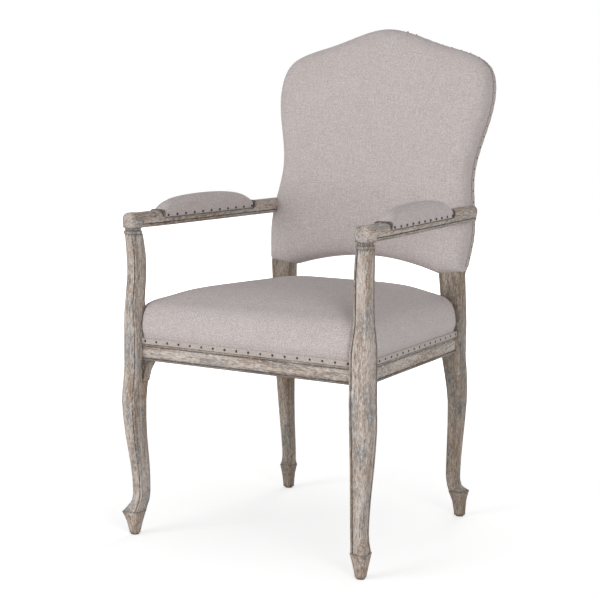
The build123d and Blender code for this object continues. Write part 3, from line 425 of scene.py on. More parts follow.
# Meshes
def new_piece(name, vertices, faces):
    """A mesh object in the scene."""
    mesh = bpy.data.meshes.new(name)
    mesh.from_pydata([tuple(vertex) for vertex in vertices], [], faces)
    mesh.update()
    piece = bpy.data.objects.new(name, mesh)
    bpy.context.scene.collection.objects.link(piece)
    return piece


@contextmanager
def edited(mesh):
    """A mesh opened for editing and written back at the end."""
    shape = bmesh.new()
    shape.from_mesh(mesh)
    yield shape
    shape.to_mesh(mesh)
    shape.free()
    mesh.update()


def tidy_mesh(piece):
    """Turns all faces of a piece outwards and shades them smooth."""
    with edited(piece.data) as shape:
        bmesh.ops.recalc_face_normals(shape, faces=shape.faces)
        for face in shape.faces:
            face.smooth = True


def subdivided(piece):
    """Adds one level of subdivision to a soft piece."""
    modifier = piece.modifiers.new("Subdivision", "SUBSURF")
    modifier.levels = modifier.render_levels = 1


def close_rim(piece):
    """Subdivides an open cover once and fills its rim with one flat face."""
    subdivided(piece)
    finer = piece.evaluated_get(bpy.context.evaluated_depsgraph_get())
    mesh = bpy.data.meshes.new_from_object(finer)
    piece.modifiers.clear()
    rough = piece.data
    piece.data = mesh
    bpy.data.meshes.remove(rough)
    with edited(mesh) as shape:
        bmesh.ops.contextual_create(shape, geom=[edge for edge in shape.edges if edge.is_boundary])


def ring_faces(first, spans, count):
    """Faces between rings of count points each, from point number first on."""
    faces = []
    for here in range(first, first + spans * count, count):
        for place in range(count):
            after = (place + 1) % count
            faces.append((here + place, here + after, here + count + after, here + count + place))
    return faces


def tube_faces(spans, count):
    """Faces of a tube of rings with count points each, closed at both ends."""
    end = spans * count
    return ring_faces(0, spans, count) + [tuple(range(count)), tuple(reversed(range(end, end + count)))]


def laid_grid(rings, centre, corners, room=None):
    """A square grid laid over nested outlines: its ring number k lies on outline k.

    Each ring is (outline, shrink, level), and room limits its reach in a direction.
    Gives the points as (x, y, level) and the grid's faces.
    """
    size = len(rings)
    points = numpy.zeros((2 * size + 1, 2 * size + 1, 3))
    points[size, size] = (centre[0], centre[1], rings[0][2])
    low_left, low_right, high_right, high_left = [numpy.array(corner, float) for corner in corners]
    for ring, (outline, shrink, level) in enumerate(rings, start=1):
        away = numpy.array([(point[0], point[1]) for point in dense(outline, 2.0)]) - numpy.array(centre)
        turns = numpy.arctan2(away[:, 1], away[:, 0])
        reach = numpy.hypot(away[:, 0], away[:, 1])
        order = numpy.argsort(turns)
        for i in range(-ring, ring + 1):
            for j in range(-ring, ring + 1):
                if max(abs(i), abs(j)) != ring:
                    continue
                u, v = (i / ring + 1) / 2, (j / ring + 1) / 2
                aim = ((low_left * (1 - u) + low_right * u) * (1 - v)
                       + (high_left * (1 - u) + high_right * u) * v) - numpy.array(centre)
                turn = math.atan2(aim[1], aim[0])
                far = float(numpy.interp(turn, turns[order], reach[order], period=2 * math.pi))
                if room is not None:
                    far = min(far, room(centre, turn, level))
                far *= shrink
                points[i + size, j + size] = (centre[0] + far * math.cos(turn),
                                              centre[1] + far * math.sin(turn), level)
    row = 2 * size + 1
    faces = [(a * row + b, (a + 1) * row + b, (a + 1) * row + b + 1, a * row + b + 1)
             for a in range(2 * size) for b in range(2 * size)]
    return points.reshape(-1, 3), faces


def swell(piece, held, cap, pressure, even):
    """Fills a sewn cover: cloth under pressure, held at some points, with each point's way outwards capped.

    The filling keeps the cloth from sinking in, and rounds of evening out take away ripples.
    """
    before = [vertex.co.copy() for vertex in piece.data.vertices]
    group = piece.vertex_groups.new(name="held")
    for index, weight in enumerate(held):
        if weight > 0:
            group.add([index], weight, "REPLACE")
    cloth = piece.modifiers.new("Filling", "CLOTH")
    for name, value in CLOTH.items():
        setattr(cloth.settings, name, value)
    cloth.settings.uniform_pressure_force = pressure
    cloth.settings.effector_weights.gravity = 0.0
    cloth.collision_settings.use_collision = False
    scene = bpy.context.scene
    for number in range(1, FILL_FRAMES + 1):
        scene.frame_set(number)
    filled = piece.evaluated_get(bpy.context.evaluated_depsgraph_get())
    after = [vertex.co.copy() for vertex in filled.data.vertices]
    piece.modifiers.remove(cloth)
    piece.vertex_groups.remove(group)
    scene.frame_set(1)
    ways = numpy.array([end - start for start, end in zip(before, after)])
    normals = numpy.array([vertex.normal for vertex in piece.data.vertices])
    outward = (ways * normals).sum(axis=1)
    ways += normals * (numpy.maximum(outward, 0.0) - outward)[:, None]
    far = numpy.maximum(numpy.linalg.norm(ways, axis=1), 1e-9)
    ways *= numpy.minimum(1.0, cap / far)[:, None]
    starts, ends = numpy.array([edge.vertices[:] for edge in piece.data.edges]).T
    count = numpy.bincount(starts, minlength=len(ways)) + numpy.bincount(ends, minlength=len(ways))
    free = 1.0 - numpy.array(held)[:, None]
    for _ in range(even):
        total = numpy.zeros_like(ways)
        numpy.add.at(total, starts, ways[ends])
        numpy.add.at(total, ends, ways[starts])
        ways = free * (0.5 * ways + 0.5 * total / count[:, None])
    for vertex, start, way in zip(piece.data.vertices, before, ways):
        vertex.co = start + Vector(way)
    piece.data.update()


def softened(piece, rounds, height):
    """Evens out a mesh a little above a height."""
    with edited(piece.data) as shape:
        verts = [vert for vert in shape.verts if vert.co.z > height]
        for _ in range(rounds):
            bmesh.ops.smooth_vert(shape, verts=verts, factor=0.5, use_axis_x=True, use_axis_y=True,
                                  use_axis_z=True)


def dressed(piece, material, slot, *replaced):
    """Gives a piece its material, lets it ride on the chair and hides the solids it stands for; slot is not
    used.
    """
    piece.data.materials.clear()
    piece.data.materials.append(material)
    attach(piece, "root")
    if replaced:
        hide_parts(*replaced)
    return piece


# Shader nodes
def put(tree, kind, links=None, **values):
    """A node with its settings, its inputs linked or set."""
    made = tree.nodes.new(kind)
    for name, value in values.items():
        setattr(made, name, value)
    for name, source in (links or {}).items():
        if isinstance(source, bpy.types.NodeSocket):
            tree.links.new(source, made.inputs[name])
        else:
            made.inputs[name].default_value = source
    return made


def maths(tree, operation, *operands):
    """A number worked out from others."""
    return put(tree, "ShaderNodeMath", dict(enumerate(operands)), operation=operation).outputs[0]


def mixed(tree, share, first, second):
    """Two numbers mixed by a share."""
    return put(tree, "ShaderNodeMix", {0: share, 2: first, 3: second}).outputs[0]


def blend(tree, share, first, second):
    """Two colours mixed by a share."""
    return put(tree, "ShaderNodeMix", {0: share, 6: first, 7: second}, data_type="RGBA",
               clamp_factor=True).outputs[2]


def between(tree, value, low, high, bottom=0.0, top=1.0):
    """A value spread from one range over another, and kept inside it."""
    return put(tree, "ShaderNodeMapRange", {0: value, 1: low, 2: high, 3: bottom, 4: top}, clamp=True,
               interpolation_type="SMOOTHSTEP").outputs[0]


def grain(tree, place, scale, detail=3.0, rough=0.55, warp=0.0):
    """A noise value at a place."""
    return put(tree, "ShaderNodeTexNoise", {"Vector": place, "Scale": scale, "Detail": detail,
                                            "Roughness": rough, "Distortion": warp}).outputs[0]


def vectors(tree, operation, *operands):
    """A vector worked out from others."""
    return put(tree, "ShaderNodeVectorMath", dict(enumerate(operands)), operation=operation).outputs[0]


def closeness(tree, distance, **options):
    """How open a surface is to its surroundings, or to its own inside, within a distance."""
    return put(tree, "ShaderNodeAmbientOcclusion", {"Distance": distance}, samples=8, **options).outputs["AO"]


def background_rays(tree):
    """1 on the rays that see the studio as plain white: to the camera, in gloss and through glass."""
    seen = put(tree, "ShaderNodeLightPath")
    ray = seen.outputs["Is Camera Ray"]
    for label in ("Is Glossy Ray", "Is Transmission Ray"):
        ray = maths(tree, "MAXIMUM", ray, seen.outputs[label])
    return ray


def shader_group(name, **takes):
    """Makes a layout of nodes into a group with a colour, a roughness and a height, built on first use."""
    def socket_kind(default):
        if isinstance(default, float):
            return "NodeSocketFloat"
        return "NodeSocketColor" if len(default) == 4 else "NodeSocketVector"

    def grouped(layout):
        def group():
            if name in bpy.data.node_groups:
                return bpy.data.node_groups[name]
            tree = bpy.data.node_groups.new(name, "ShaderNodeTree")
            for label, default in takes.items():
                kind = socket_kind(default)
                socket = tree.interface.new_socket(name=label, in_out="INPUT", socket_type=kind)
                socket.default_value = default
            for label, kind in (("Colour", "Color"), ("Roughness", "Float"), ("Height", "Float")):
                tree.interface.new_socket(name=label, in_out="OUTPUT", socket_type="NodeSocket" + kind)
            inner = tree.nodes.new("NodeGroupInput")
            outer = tree.nodes.new("NodeGroupOutput")
            for source, socket in zip(layout(tree, inner.outputs), outer.inputs):
                tree.links.new(source, socket)
            return tree
        return group
    return grouped


@shader_group("Linen weave", Light=(0.6, 0.55, 0.5, 1.0), Dark=(0.3, 0.28, 0.26, 1.0), Threads=1150.0,
              Slub=0.5, Mottle=0.5)
def linen_weave(tree, takes):
    """Plain linen weave mapped from three sides."""
    where = put(tree, "ShaderNodeTexCoord")
    place = where.outputs["Object"]
    xyz = put(tree, "ShaderNodeSeparateXYZ", {0: place}).outputs
    normal = vectors(tree, "ABSOLUTE", where.outputs["Normal"])
    facing = put(tree, "ShaderNodeSeparateXYZ", {0: normal}).outputs

    def mainly(axis, *others):
        """1 where the cloth faces an axis more than both others."""
        return maths(tree, "MULTIPLY", *(maths(tree, "GREATER_THAN", facing[axis], facing[other])
                                         for other in others))

    across = mixed(tree, mainly(0, 1, 2), xyz[0], xyz[1])
    along = mixed(tree, mainly(2, 0, 1), xyz[2], xyz[1])
    drift = grain(tree, place, 14.0, 2.0)
    warp, weft = (maths(tree, "MULTIPLY_ADD", way, takes["Threads"], maths(tree, "MULTIPLY", drift, wander))
                  for way, wander in ((across, 6.0), (along, 5.0)))
    half_turns = [maths(tree, "MULTIPLY", way, math.pi) for way in (warp, weft)]
    warp_round, weft_round = (maths(tree, "ABSOLUTE", maths(tree, "SINE", turn)) for turn in half_turns)
    count = maths(tree, "ADD", maths(tree, "FLOOR", warp), maths(tree, "FLOOR", weft))
    over = maths(tree, "GREATER_THAN", maths(tree, "FRACT", maths(tree, "MULTIPLY", count, 0.5)), 0.25)
    crossing = mixed(tree, over, warp_round, weft_round)
    uneven = []
    for warp_share, weft_share in ((0.8, 0.025), (0.025, 0.8)):
        line = put(tree, "ShaderNodeCombineXYZ", {0: maths(tree, "MULTIPLY", warp, warp_share),
                                                  1: maths(tree, "MULTIPLY", weft, weft_share)})
        uneven.append(grain(tree, line.outputs[0], 1.0, 2.0))
    slub = maths(tree, "SUBTRACT", maths(tree, "ADD", *uneven), 1.0)
    mottle = maths(tree, "SUBTRACT", grain(tree, place, 560.0, 3.0, 0.8), 0.5)
    thread = maths(tree, "SUBTRACT", crossing, 0.64)
    cloud = maths(tree, "SUBTRACT", grain(tree, place, 9.0, 2.0), 0.5)
    shade = 0.5
    for value, share in ((slub, takes["Slub"]), (mottle, takes["Mottle"]), (thread, 0.34), (cloud, 0.1)):
        shade = maths(tree, "MULTIPLY_ADD", value, share, shade)
    return (blend(tree, shade, takes["Dark"], takes["Light"]),
            between(tree, crossing, 0.0, 1.0, 0.95, 0.78),
            maths(tree, "ADD", crossing, maths(tree, "MULTIPLY", slub, 0.8)))


@shader_group("Limed oak", Pale=(0.5, 0.45, 0.4, 1.0), Brown=(0.3, 0.22, 0.15, 1.0),
              Grey=(0.3, 0.3, 0.3, 1.0), Deep=(0.1, 0.07, 0.05, 1.0), Run=(1.0, 1.0, 0.06),
              Lime=0.5, Stain=0.85)
def oak_grain(tree, takes):
    """Limed oak: pale wood with brown and grey patches, pores and lime flecks, with painted shade in the
    grooves, painted shade and a grey wash along the edges, and pale ridges that are partly a painted
    highlight.
    """
    pale, brown, grey, deep = (takes[label] for label in ("Pale", "Brown", "Grey", "Deep"))
    place = put(tree, "ShaderNodeTexCoord").outputs["Object"]
    run = vectors(tree, "MULTIPLY", place, takes["Run"])
    part_run = vectors(tree, "ADD", run, vectors(tree, "MULTIPLY", place, (0.28, 0.28, 0.28)))
    patch = grain(tree, part_run, 30.0, 3.0, 0.6)
    drift = grain(tree, run, 55.0, 3.0, 0.6, 0.4)
    figure = grain(tree, run, 190.0, 5.0, 0.75, 0.5)
    pore = grain(tree, run, 430.0, 3.0, 0.7)
    fleck = grain(tree, run, 300.0, 4.0, 0.85)
    speck = grain(tree, part_run, 265.0, 4.0, 0.9)
    hollow_shade = closeness(tree, 0.012, only_local=True)
    ridge_highlight_and_wear = closeness(tree, 0.0035, inside=True)
    edge_shade_and_wash = closeness(tree, 0.011, inside=True, only_local=True)
    height = put(tree, "ShaderNodeSeparateXYZ", {0: place}).outputs[2]
    tone = pale
    # Layers from the wood up: what decides, its range, the share that shows and the paint
    for value, low, high, share, paint in (
        (drift, 0.32, 0.66, 1.0, brown),
        (patch, 0.47, 0.64, 0.72, grey),
        (figure, 0.48, 0.68, 0.75, brown),
        (pore, 0.54, 0.68, 0.7, deep),
        (height, 0.054, 0.044, 0.5, brown),
        (fleck, 0.5, 0.62, takes["Lime"], pale),
        # Painted shade: grooves and hollows darkened by occlusion, in the deep colour
        (hollow_shade, 0.985, 0.74, takes["Stain"], deep),
        (speck, 0.52, 0.61, takes["Lime"], (0.68, 0.65, 0.61, 1.0)),
        (speck, 0.46, 0.37, 0.7, deep),
        # Dark along the edges: partly painted shade, partly a grey wash
        (edge_shade_and_wash, 0.8, 0.5, 0.62, deep),
        # Pale on sharp ridges: partly a painted highlight, partly rubbed lime
        (ridge_highlight_and_wear, 0.56, 0.3, 0.6, pale),
    ):
        tone = blend(tree, between(tree, value, low, high, 0.0, share), tone, paint)
    dip = maths(tree, "SUBTRACT", maths(tree, "MULTIPLY", figure, 0.6), between(tree, pore, 0.52, 0.7))
    return (tone, between(tree, figure, 0.3, 0.75, 0.55, 0.82),
            maths(tree, "ADD", dip, maths(tree, "MULTIPLY", speck, 0.7)))


@shader_group("Tarnish", Dark=(0.04, 0.035, 0.03, 1.0), Worn=(0.2, 0.18, 0.15, 1.0), Wear=0.5)
def tarnish(tree, takes):
    """Old metal: dark, rubbed in patches of noise, with fine scratches in its relief."""
    place = put(tree, "ShaderNodeTexCoord").outputs["Object"]
    cloud = grain(tree, place, 900.0, 4.0, 0.7)
    scratch = grain(tree, vectors(tree, "MULTIPLY", place, (1.0, 0.12, 1.0)), 3000.0, 2.0)
    worn = between(tree, cloud, 0.42, 0.7, 0.0, takes["Wear"])
    return (blend(tree, worn, takes["Dark"], takes["Worn"]), between(tree, cloud, 0.3, 0.7, 0.36, 0.6),
            maths(tree, "ADD", cloud, maths(tree, "MULTIPLY", scratch, 0.3)))


def material_of(name, group, values, bump, distance, **sockets):
    """A material with colour, roughness and relief from a group, and plain sockets set on its shader."""
    if name in bpy.data.materials:
        return bpy.data.materials[name]
    material = bpy.data.materials.new(name)
    material.use_nodes = True
    tree = material.node_tree
    shader = tree.nodes["Principled BSDF"]
    effect = put(tree, "ShaderNodeGroup", node_tree=group)
    for label, value in values.items():
        effect.inputs[label].default_value = value
    relief = put(tree, "ShaderNodeBump", {"Strength": bump, "Distance": distance,
                                          "Height": effect.outputs["Height"]})
    tree.links.new(effect.outputs["Colour"], shader.inputs["Base Color"])
    tree.links.new(effect.outputs["Roughness"], shader.inputs["Roughness"])
    tree.links.new(relief.outputs[0], shader.inputs["Normal"])
    for label, value in sockets.items():
        shader.inputs[label.replace("_", " ")].default_value = value
    return material


def linen(trim=False):
    """The upholstery cloth, or the same cloth as folded trim."""
    colours = settings().finishes
    name, light, dark = "Linen", colours.linen_light, colours.linen_dark
    if trim:
        name, light, dark = "Linen trim", colours.trim_light, colours.trim_dark
    return material_of(name, linen_weave(), {"Light": light, "Dark": dark, "Slub": 0.7, "Mottle": 3.6},
                       bump=0.5, distance=0.0003, Sheen_Weight=0.12, Sheen_Roughness=0.5,
                       Specular_IOR_Level=0.25)


def oak(name, run, lime=0.68, depth=1.0):
    """Limed oak with its grain along one axis; lime is the share of lime flecks, and depth darkens all its
    colours, which on the rear legs is partly browner wood and partly painted shade.
    """
    colours = settings().finishes
    values = {"Run": run, "Lime": lime}
    for label, paint in (("Pale", colours.oak_pale), ("Brown", colours.oak_brown), ("Grey", colours.oak_grey),
                         ("Deep", colours.oak_deep)):
        values[label] = (paint[0] * depth, paint[1] * depth * depth**0.1, paint[2] * depth * depth**0.3, 1.0)
    return material_of(name, oak_grain(), values, bump=0.55, distance=0.0005, Specular_IOR_Level=0.3)


def smooth_shading():
    """Geometry nodes that join the solids' split points and shade all but the crisp edges smooth."""
    if "Smooth wood" in bpy.data.node_groups:
        return bpy.data.node_groups["Smooth wood"]
    tree = bpy.data.node_groups.new("Smooth wood", "GeometryNodeTree")
    for way in ("INPUT", "OUTPUT"):
        tree.interface.new_socket(name="Geometry", in_out=way, socket_type="NodeSocketGeometry")
    inner = tree.nodes.new("NodeGroupInput")
    outer = tree.nodes.new("NodeGroupOutput")
    plain = put(tree, "GeometryNodeRemoveAttribute", {"Geometry": inner.outputs[0], "Name": "custom_normal"})
    merged = put(tree, "GeometryNodeMergeByDistance", {"Geometry": plain.outputs[0], "Distance": 0.00001})
    soft = put(tree, "GeometryNodeSetShadeSmooth", {"Geometry": merged.outputs[0], "Shade Smooth": True},
               domain="FACE")
    turn = put(tree, "GeometryNodeInputMeshEdgeAngle")
    crisp = put(tree, "FunctionNodeCompare", {0: turn.outputs[0], 1: math.radians(38)},
                operation="GREATER_THAN")
    final = put(tree, "GeometryNodeSetShadeSmooth", {
        "Geometry": soft.outputs[0], "Selection": crisp.outputs[0], "Shade Smooth": False}, domain="EDGE")
    tree.links.new(final.outputs[0], outer.inputs[0])
    return tree


def finish_nodes(names, material):
    """Gives solids of the frame a material and smooth shading."""
    for name in names:
        piece = nodes[name]
        piece.data.materials.clear()
        piece.data.materials.append(material)
        modifier = piece.modifiers.new("Smooth wood", "NODES")
        modifier.node_group = smooth_shading()


class ARMCHAIR_OT_oak_frame(Operator):
    """Finish the legs, rails and arms in limed oak, each with its own grain direction"""

    bl_idname = "armchair.oak_frame"
    bl_label = "Oak frame"

    def execute(self, context):
        upright = oak("Limed oak upright", (1.0, 1.0, 0.07))
        crosswise = oak("Limed oak crosswise", (0.07, 1.0, 1.0))
        lengthwise = oak("Limed oak lengthwise", (1.0, 0.07, 1.0))
        # Rear legs: less lime and darker colours, partly browner wood and partly painted shade
        rear_oak_browner_and_shaded = oak("Limed oak rear", (1.0, 1.0, 0.07), 0.32, 0.66)
        finish_nodes(["front_leg_left", "front_leg_right"], upright)
        finish_nodes(["rear_leg_left", "rear_leg_right"], rear_oak_browner_and_shaded)
        finish_nodes(["front_seat_rail", "rear_seat_rail", "lower_back_rail", "crest_rail"], crosswise)
        finish_nodes(["left_seat_rail", "right_seat_rail", "arm_left", "arm_right"], lengthwise)
        return {"FINISHED"}


class ARMCHAIR_OT_hidden_fittings(Operator):
    """Finish the pieces inside the chair: blocks, dowels, screws, webbing and glides"""

    bl_idname = "armchair.hidden_fittings"
    bl_label = "Hidden fittings"

    def execute(self, context):
        colours = settings().finishes
        bare = material_of("Bare beech", oak_grain(), {
            "Pale": painted(205, 182, 150), "Brown": painted(178, 148, 112), "Grey": painted(190, 166, 134),
            "Deep": painted(140, 110, 80), "Run": (1.0, 1.0, 0.1), "Lime": 0.2, "Stain": 0.3},
            bump=0.4, distance=0.0004)
        finish_nodes(["corner_blocks", "back_dowels"], bare)
        steel = material_of("Zinc steel", tarnish(), {
            "Dark": painted(120, 122, 126), "Worn": painted(188, 190, 194), "Wear": 0.9},
            bump=0.2, distance=0.0001, Metallic=1.0)
        finish_nodes(["arm_screws", "corner_block_screws"], steel)
        jute = material_of("Jute webbing", linen_weave(), {
            "Light": colours.webbing, "Dark": painted(104, 86, 62), "Threads": 420.0, "Slub": 1.1,
            "Mottle": 0.5}, bump=0.9, distance=0.0008, Specular_IOR_Level=0.2)
        finish_nodes(["seat_webbing", "back_webbing"], jute)
        nylon = material_of("Glide nylon", tarnish(), {
            "Dark": colours.glide, "Worn": painted(92, 84, 75), "Wear": 0.6}, bump=0.2, distance=0.0001)
        finish_nodes(["floor_glides"], nylon)
        return {"FINISHED"}


class ARMCHAIR_OT_seat_cushion(Operator):
    """Make the seat: linen over a crowned filling, cut round the posts and tucked behind the trim"""

    bl_idname = "armchair.seat_cushion"
    bl_label = "Seat cushion"

    def execute(self, context):
        sizes = settings().cushions
        slack = sizes.seat_slack / MM
        bulge = sizes.seat_bulge / MM
        crown = TRIM_TOP + sizes.seat_crown / MM
        # From the trim up the swollen side, over the edge and in to the crown, as (inset, height)
        section = [
            (2.0, TRIM_TOP), (-bulge * 0.6, TRIM_TOP + 10.0), (-bulge, TRIM_TOP + 24.0),
            (-bulge * 0.9, TRIM_TOP + 40.0), (-bulge * 0.45, crown - 50.0), (2.5, crown - 40.0),
            (11.0, crown - 32.5), (25.0, crown - 27.0), (55.0, crown - 18.0), (95.0, crown - 9.0),
            (130.0, crown - 3.6), (160.0, crown - 1.0),
        ]
        hem = (2.0, TRIM_BOTTOM + 1.0)
        profile = spread([hem] + curve_through(section, (-0.5, 1.0), (1.0, 0.05), 160), SEAT_SIDE)
        profile.reverse()
        inset, height = profile[0]
        edge = seat_outline(inset, SEAT_CORNER + inset * CORNER_GROWTH)
        rings = domed(SEAT_MIDDLE, edge, height - slack, sizes.seat_dome / MM)
        # The slack is taken off little by little above the trim, first from the sides and then from the top
        for inset, height in profile:
            draw = slack * clamped((height - TRIM_TOP - 4.0) / 22.0)
            sink = slack * clamped((height - TRIM_TOP - 30.0) / 60.0)
            corner = SEAT_CORNER + max(inset, 0) * CORNER_GROWTH
            rings.append((seat_outline(inset + draw * 0.6, corner), 1.0, height - sink))
        # Turned up behind the trim and in over the rails
        for inset, height in ((3.6, TRIM_BOTTOM + 1.0), (3.6, RAIL_TOP + 1.0), (10.0, RAIL_TOP + 5.4)):
            rings.append((seat_outline(inset, SEAT_CORNER), 1.0, height))
        corners = four_corners(252.0, -265.0, 190.0, 168.0)
        points, faces = laid_grid(rings, SEAT_CENTRE, corners, seat_room)
        piece = new_piece("seat_cushion", points * MM, faces)
        size = len(rings)
        steps = range(-size, size + 1)
        held = [1.0 if max(abs(i), abs(j)) > size - SEAT_HELD else 0.0 for i in steps for j in steps]
        softened(piece, 4, (TRIM_TOP + 3) * MM)
        swell(piece, held, cap=0.008, pressure=sizes.pressure, even=60)
        close_rim(piece)
        tidy_mesh(piece)
        dressed(piece, linen(), "linen", "seat_cover", "seat_foam")
        return {"FINISHED"}


BACK_CORNERS = four_corners(238.0, 2.0, 232.0, 452.0)


class ARMCHAIR_OT_back_cushion(Operator):
    """Make the padded back: linen over a soft-edged filling, drawn round the frame to its rear edge"""

    bl_idname = "armchair.back_cushion"
    bl_label = "Back cushion"

    def execute(self, context):
        sizes = settings().cushions
        front = sizes.back_front / MM - 4.0
        edge = sizes.back_edge / MM
        # From the frame's rear edge forward and round the soft edge, as (inset, level)
        section = [(0.4, -BACK_DEPTH), (0.3, -3.0), (-0.4, 4.0), (-0.8, 13.0)]
        for step in range(1, EDGE_STEPS + 1):
            rise = math.sin(math.radians(90 * step / EDGE_STEPS))
            draw_in = 1 - (1 - rise**EDGE_POWER) ** (1 / EDGE_POWER)
            section.append((edge * draw_in - 0.8, front - EDGE_DEPTH + EDGE_DEPTH * rise))
        profile = spread(section, BACK_SIDE)
        profile.reverse()
        levels = domed(BACK_MIDDLE, *profile[0], sizes.back_dome / MM)
        levels += [(inset, 1.0, level) for inset, level in profile]
        points, faces = laid_grid(back_rings(levels), BACK_CENTRE, BACK_CORNERS)
        piece = new_piece("back_cushion", [on_back(*point) for point in points], faces)
        held = [1.0 if level < 8.0 else 0.0 for _, _, level in points]
        swell(piece, held, cap=0.006, pressure=sizes.pressure, even=50)
        close_rim(piece)
        tidy_mesh(piece)
        dressed(piece, linen(), "linen", "back_cover", "back_foam")
        return {"FINISHED"}


class ARMCHAIR_OT_outside_back(Operator):
    """Make the cloth over the rear of the back, stretched and turned in along its edge"""

    bl_idname = "armchair.outside_back"
    bl_label = "Outside back"

    def execute(self, context):
        levels = domed(31, 3.0, -18.0, -2.0)
        levels += [(3.0, 1.0, -17.8), (1.2, 1.0, -17.2), (0.4, 1.0, -15.8), (0.6, 1.0, -14.4)]
        points, faces = laid_grid(back_rings(levels), BACK_CENTRE, BACK_CORNERS)
        piece = new_piece("outside_back", [on_back(*point) for point in points], faces)
        tidy_mesh(piece)
        subdivided(piece)
        dressed(piece, linen(), "linen", "outside_back_panel")
        return {"FINISHED"}


def pad_ring(wide, flank, top):
    """Section of an arm pad as (across, up): sole, flank, crown, flank, sole and the groove for the core."""
    groove = CORE_HALF + 0.4
    sole = PAD_BASE + 0.3
    hem = PAD_BASE + 2.0
    turns = [math.pi * step / PAD_ARC for step in range(PAD_ARC + 1)]
    crown = [(wide * math.cos(turn), flank + (top - flank) * math.sin(turn)) for turn in turns]
    return [(groove, sole), (wide - 1.2, sole), (wide, hem), *crown, (-wide, hem), (1.2 - wide, sole),
            (-groove, sole), (-groove, CORE_TOP + 0.5), (groove, CORE_TOP + 0.5)]


class ARMCHAIR_OT_arm_pads(Operator):
    """Make the two arm pads: linen over a crowned roll that sits on the core of its arm"""

    bl_idname = "armchair.arm_pads"
    bl_label = "Arm pads"

    def execute(self, context):
        sizes = settings().cushions
        crown = sizes.pad_crown / MM
        half = sizes.pad_width / MM / 2
        # Height of the pad over its length, both as shares
        outline = [(0, 0.42), (0.035, 0.62), (0.09, 0.79), (0.2, 0.92), (0.44, 1.0), (0.68, 0.97),
                   (0.86, 0.83), (0.95, 0.63), (1, 0.4)]
        places, heights = zip(*curve_through(outline, (1.0, 6.0), (1.0, -5.0), 240))
        for side, hand in ((1, "right"), (-1, "left")):
            vertices, held = [], []
            for step in range(PAD_STATIONS + 1):
                share = step / PAD_STATIONS
                nip = PAD_NIP * max(0.0, 1 - min(share, 1 - share) / PAD_END)
                top = PAD_BASE + crown * float(numpy.interp(share, places, heights)) - PAD_SLACK
                along = PAD_START + PAD_GAP + (PAD_LENGTH - 2 * PAD_GAP) * share
                ring = pad_ring(half - PAD_EASE - nip, PAD_BASE + (top - PAD_BASE) * PAD_FLANK, top)
                for place, (across, up) in enumerate(ring):
                    vertices.append(on_arm(along, across, up, side))
                    loose = 3 <= place <= 3 + PAD_ARC and up >= PAD_BASE + PAD_HELD
                    held.append(0.0 if loose and 0 < step < PAD_STATIONS else 1.0)
            piece = new_piece("arm_pad_" + hand, vertices, tube_faces(PAD_STATIONS, len(ring)))
            tidy_mesh(piece)
            swell(piece, held, cap=0.005, pressure=sizes.pressure, even=4)
            subdivided(piece)
            dressed(piece, linen(), "linen", "arm_pad_cover_" + hand, "arm_pad_foam_" + hand)
        return {"FINISHED"}


def nail_places(name):
    """Base and direction of every nail head of a solid, read from its separate islands."""
    shape = bmesh.new()
    shape.from_mesh(nodes[name].data)
    bmesh.ops.remove_doubles(shape, verts=shape.verts, dist=0.00002)
    left = set(shape.verts)
    places = []
    for first in shape.verts:
        if first not in left:
            continue
        left.remove(first)
        stack = [first]
        island = []
        while stack:
            vert = stack.pop()
            island.append(vert)
            for edge in vert.link_edges:
                other = edge.other_vert(vert)
                if other in left:
                    left.remove(other)
                    stack.append(other)
        middle = sum((vert.co for vert in island), Vector()) / len(island)
        tip = min(island, key=lambda vert: (vert.co - middle).length)
        rim = [vert.co for vert in island if vert is not tip]
        base = sum(rim, Vector()) / len(rim)
        places.append((base, (tip.co - base).normalized()))
    shape.free()
    return places


def nail_heads(name, places, chance, small):
    """Dome nail heads at the given places, each turned and sized a little differently."""
    trims = settings().trims
    vertices, faces = [], []
    for base, outward in places:
        turn = outward.to_track_quat("Z", "Y").to_matrix()
        for axis in ("X", "Y"):
            turn = turn @ Matrix.Rotation(chance.uniform(-NAIL_TILT, NAIL_TILT), 3, axis)
        radius = trims.nail_radius * small * chance.uniform(0.93, 1.07)
        height = trims.nail_height * small
        first = len(vertices)
        for wide, high in NAIL_DOME:
            for step in range(NAIL_SIDES):
                way = 2 * math.pi * step / NAIL_SIDES
                place = Vector((math.cos(way) * wide, math.sin(way) * wide, 0.0)) * radius
                vertices.append(base + turn @ (place + UPWARD * height * high))
        last, tip = len(vertices) - NAIL_SIDES, len(vertices)
        vertices.append(base + turn @ (UPWARD * height))
        faces += ring_faces(first, len(NAIL_DOME) - 1, NAIL_SIDES)
        faces += [(last + step, last + (step + 1) % NAIL_SIDES, tip) for step in range(NAIL_SIDES)]
        faces.append(tuple(reversed(range(first, first + NAIL_SIDES))))
    piece = new_piece(name, vertices, faces)
    tidy_mesh(piece)
    return piece


class ARMCHAIR_OT_dome_nails(Operator):
    """Set the dome nails of the seat, the back and the arm pads"""

    bl_idname = "armchair.dome_nails"
    bl_label = "Dome nails"

    def execute(self, context):
        colours = settings().finishes
        chance = random.Random(settings().trims.seed)
        metal = material_of("Antique nail", tarnish(), {
            "Dark": colours.nail_dark, "Worn": colours.nail_worn, "Wear": 0.7},
            bump=0.25, distance=0.0001, Metallic=0.85)
        for node in ("seat_nails", "back_nails", "arm_pad_nails_left", "arm_pad_nails_right"):
            small = 0.86 if node == "back_nails" else 1.0
            piece = nail_heads(node.replace("nails", "nail_heads"), nail_places(node), chance, small)
            dressed(piece, metal, "nail_metal", node)
        return {"FINISHED"}


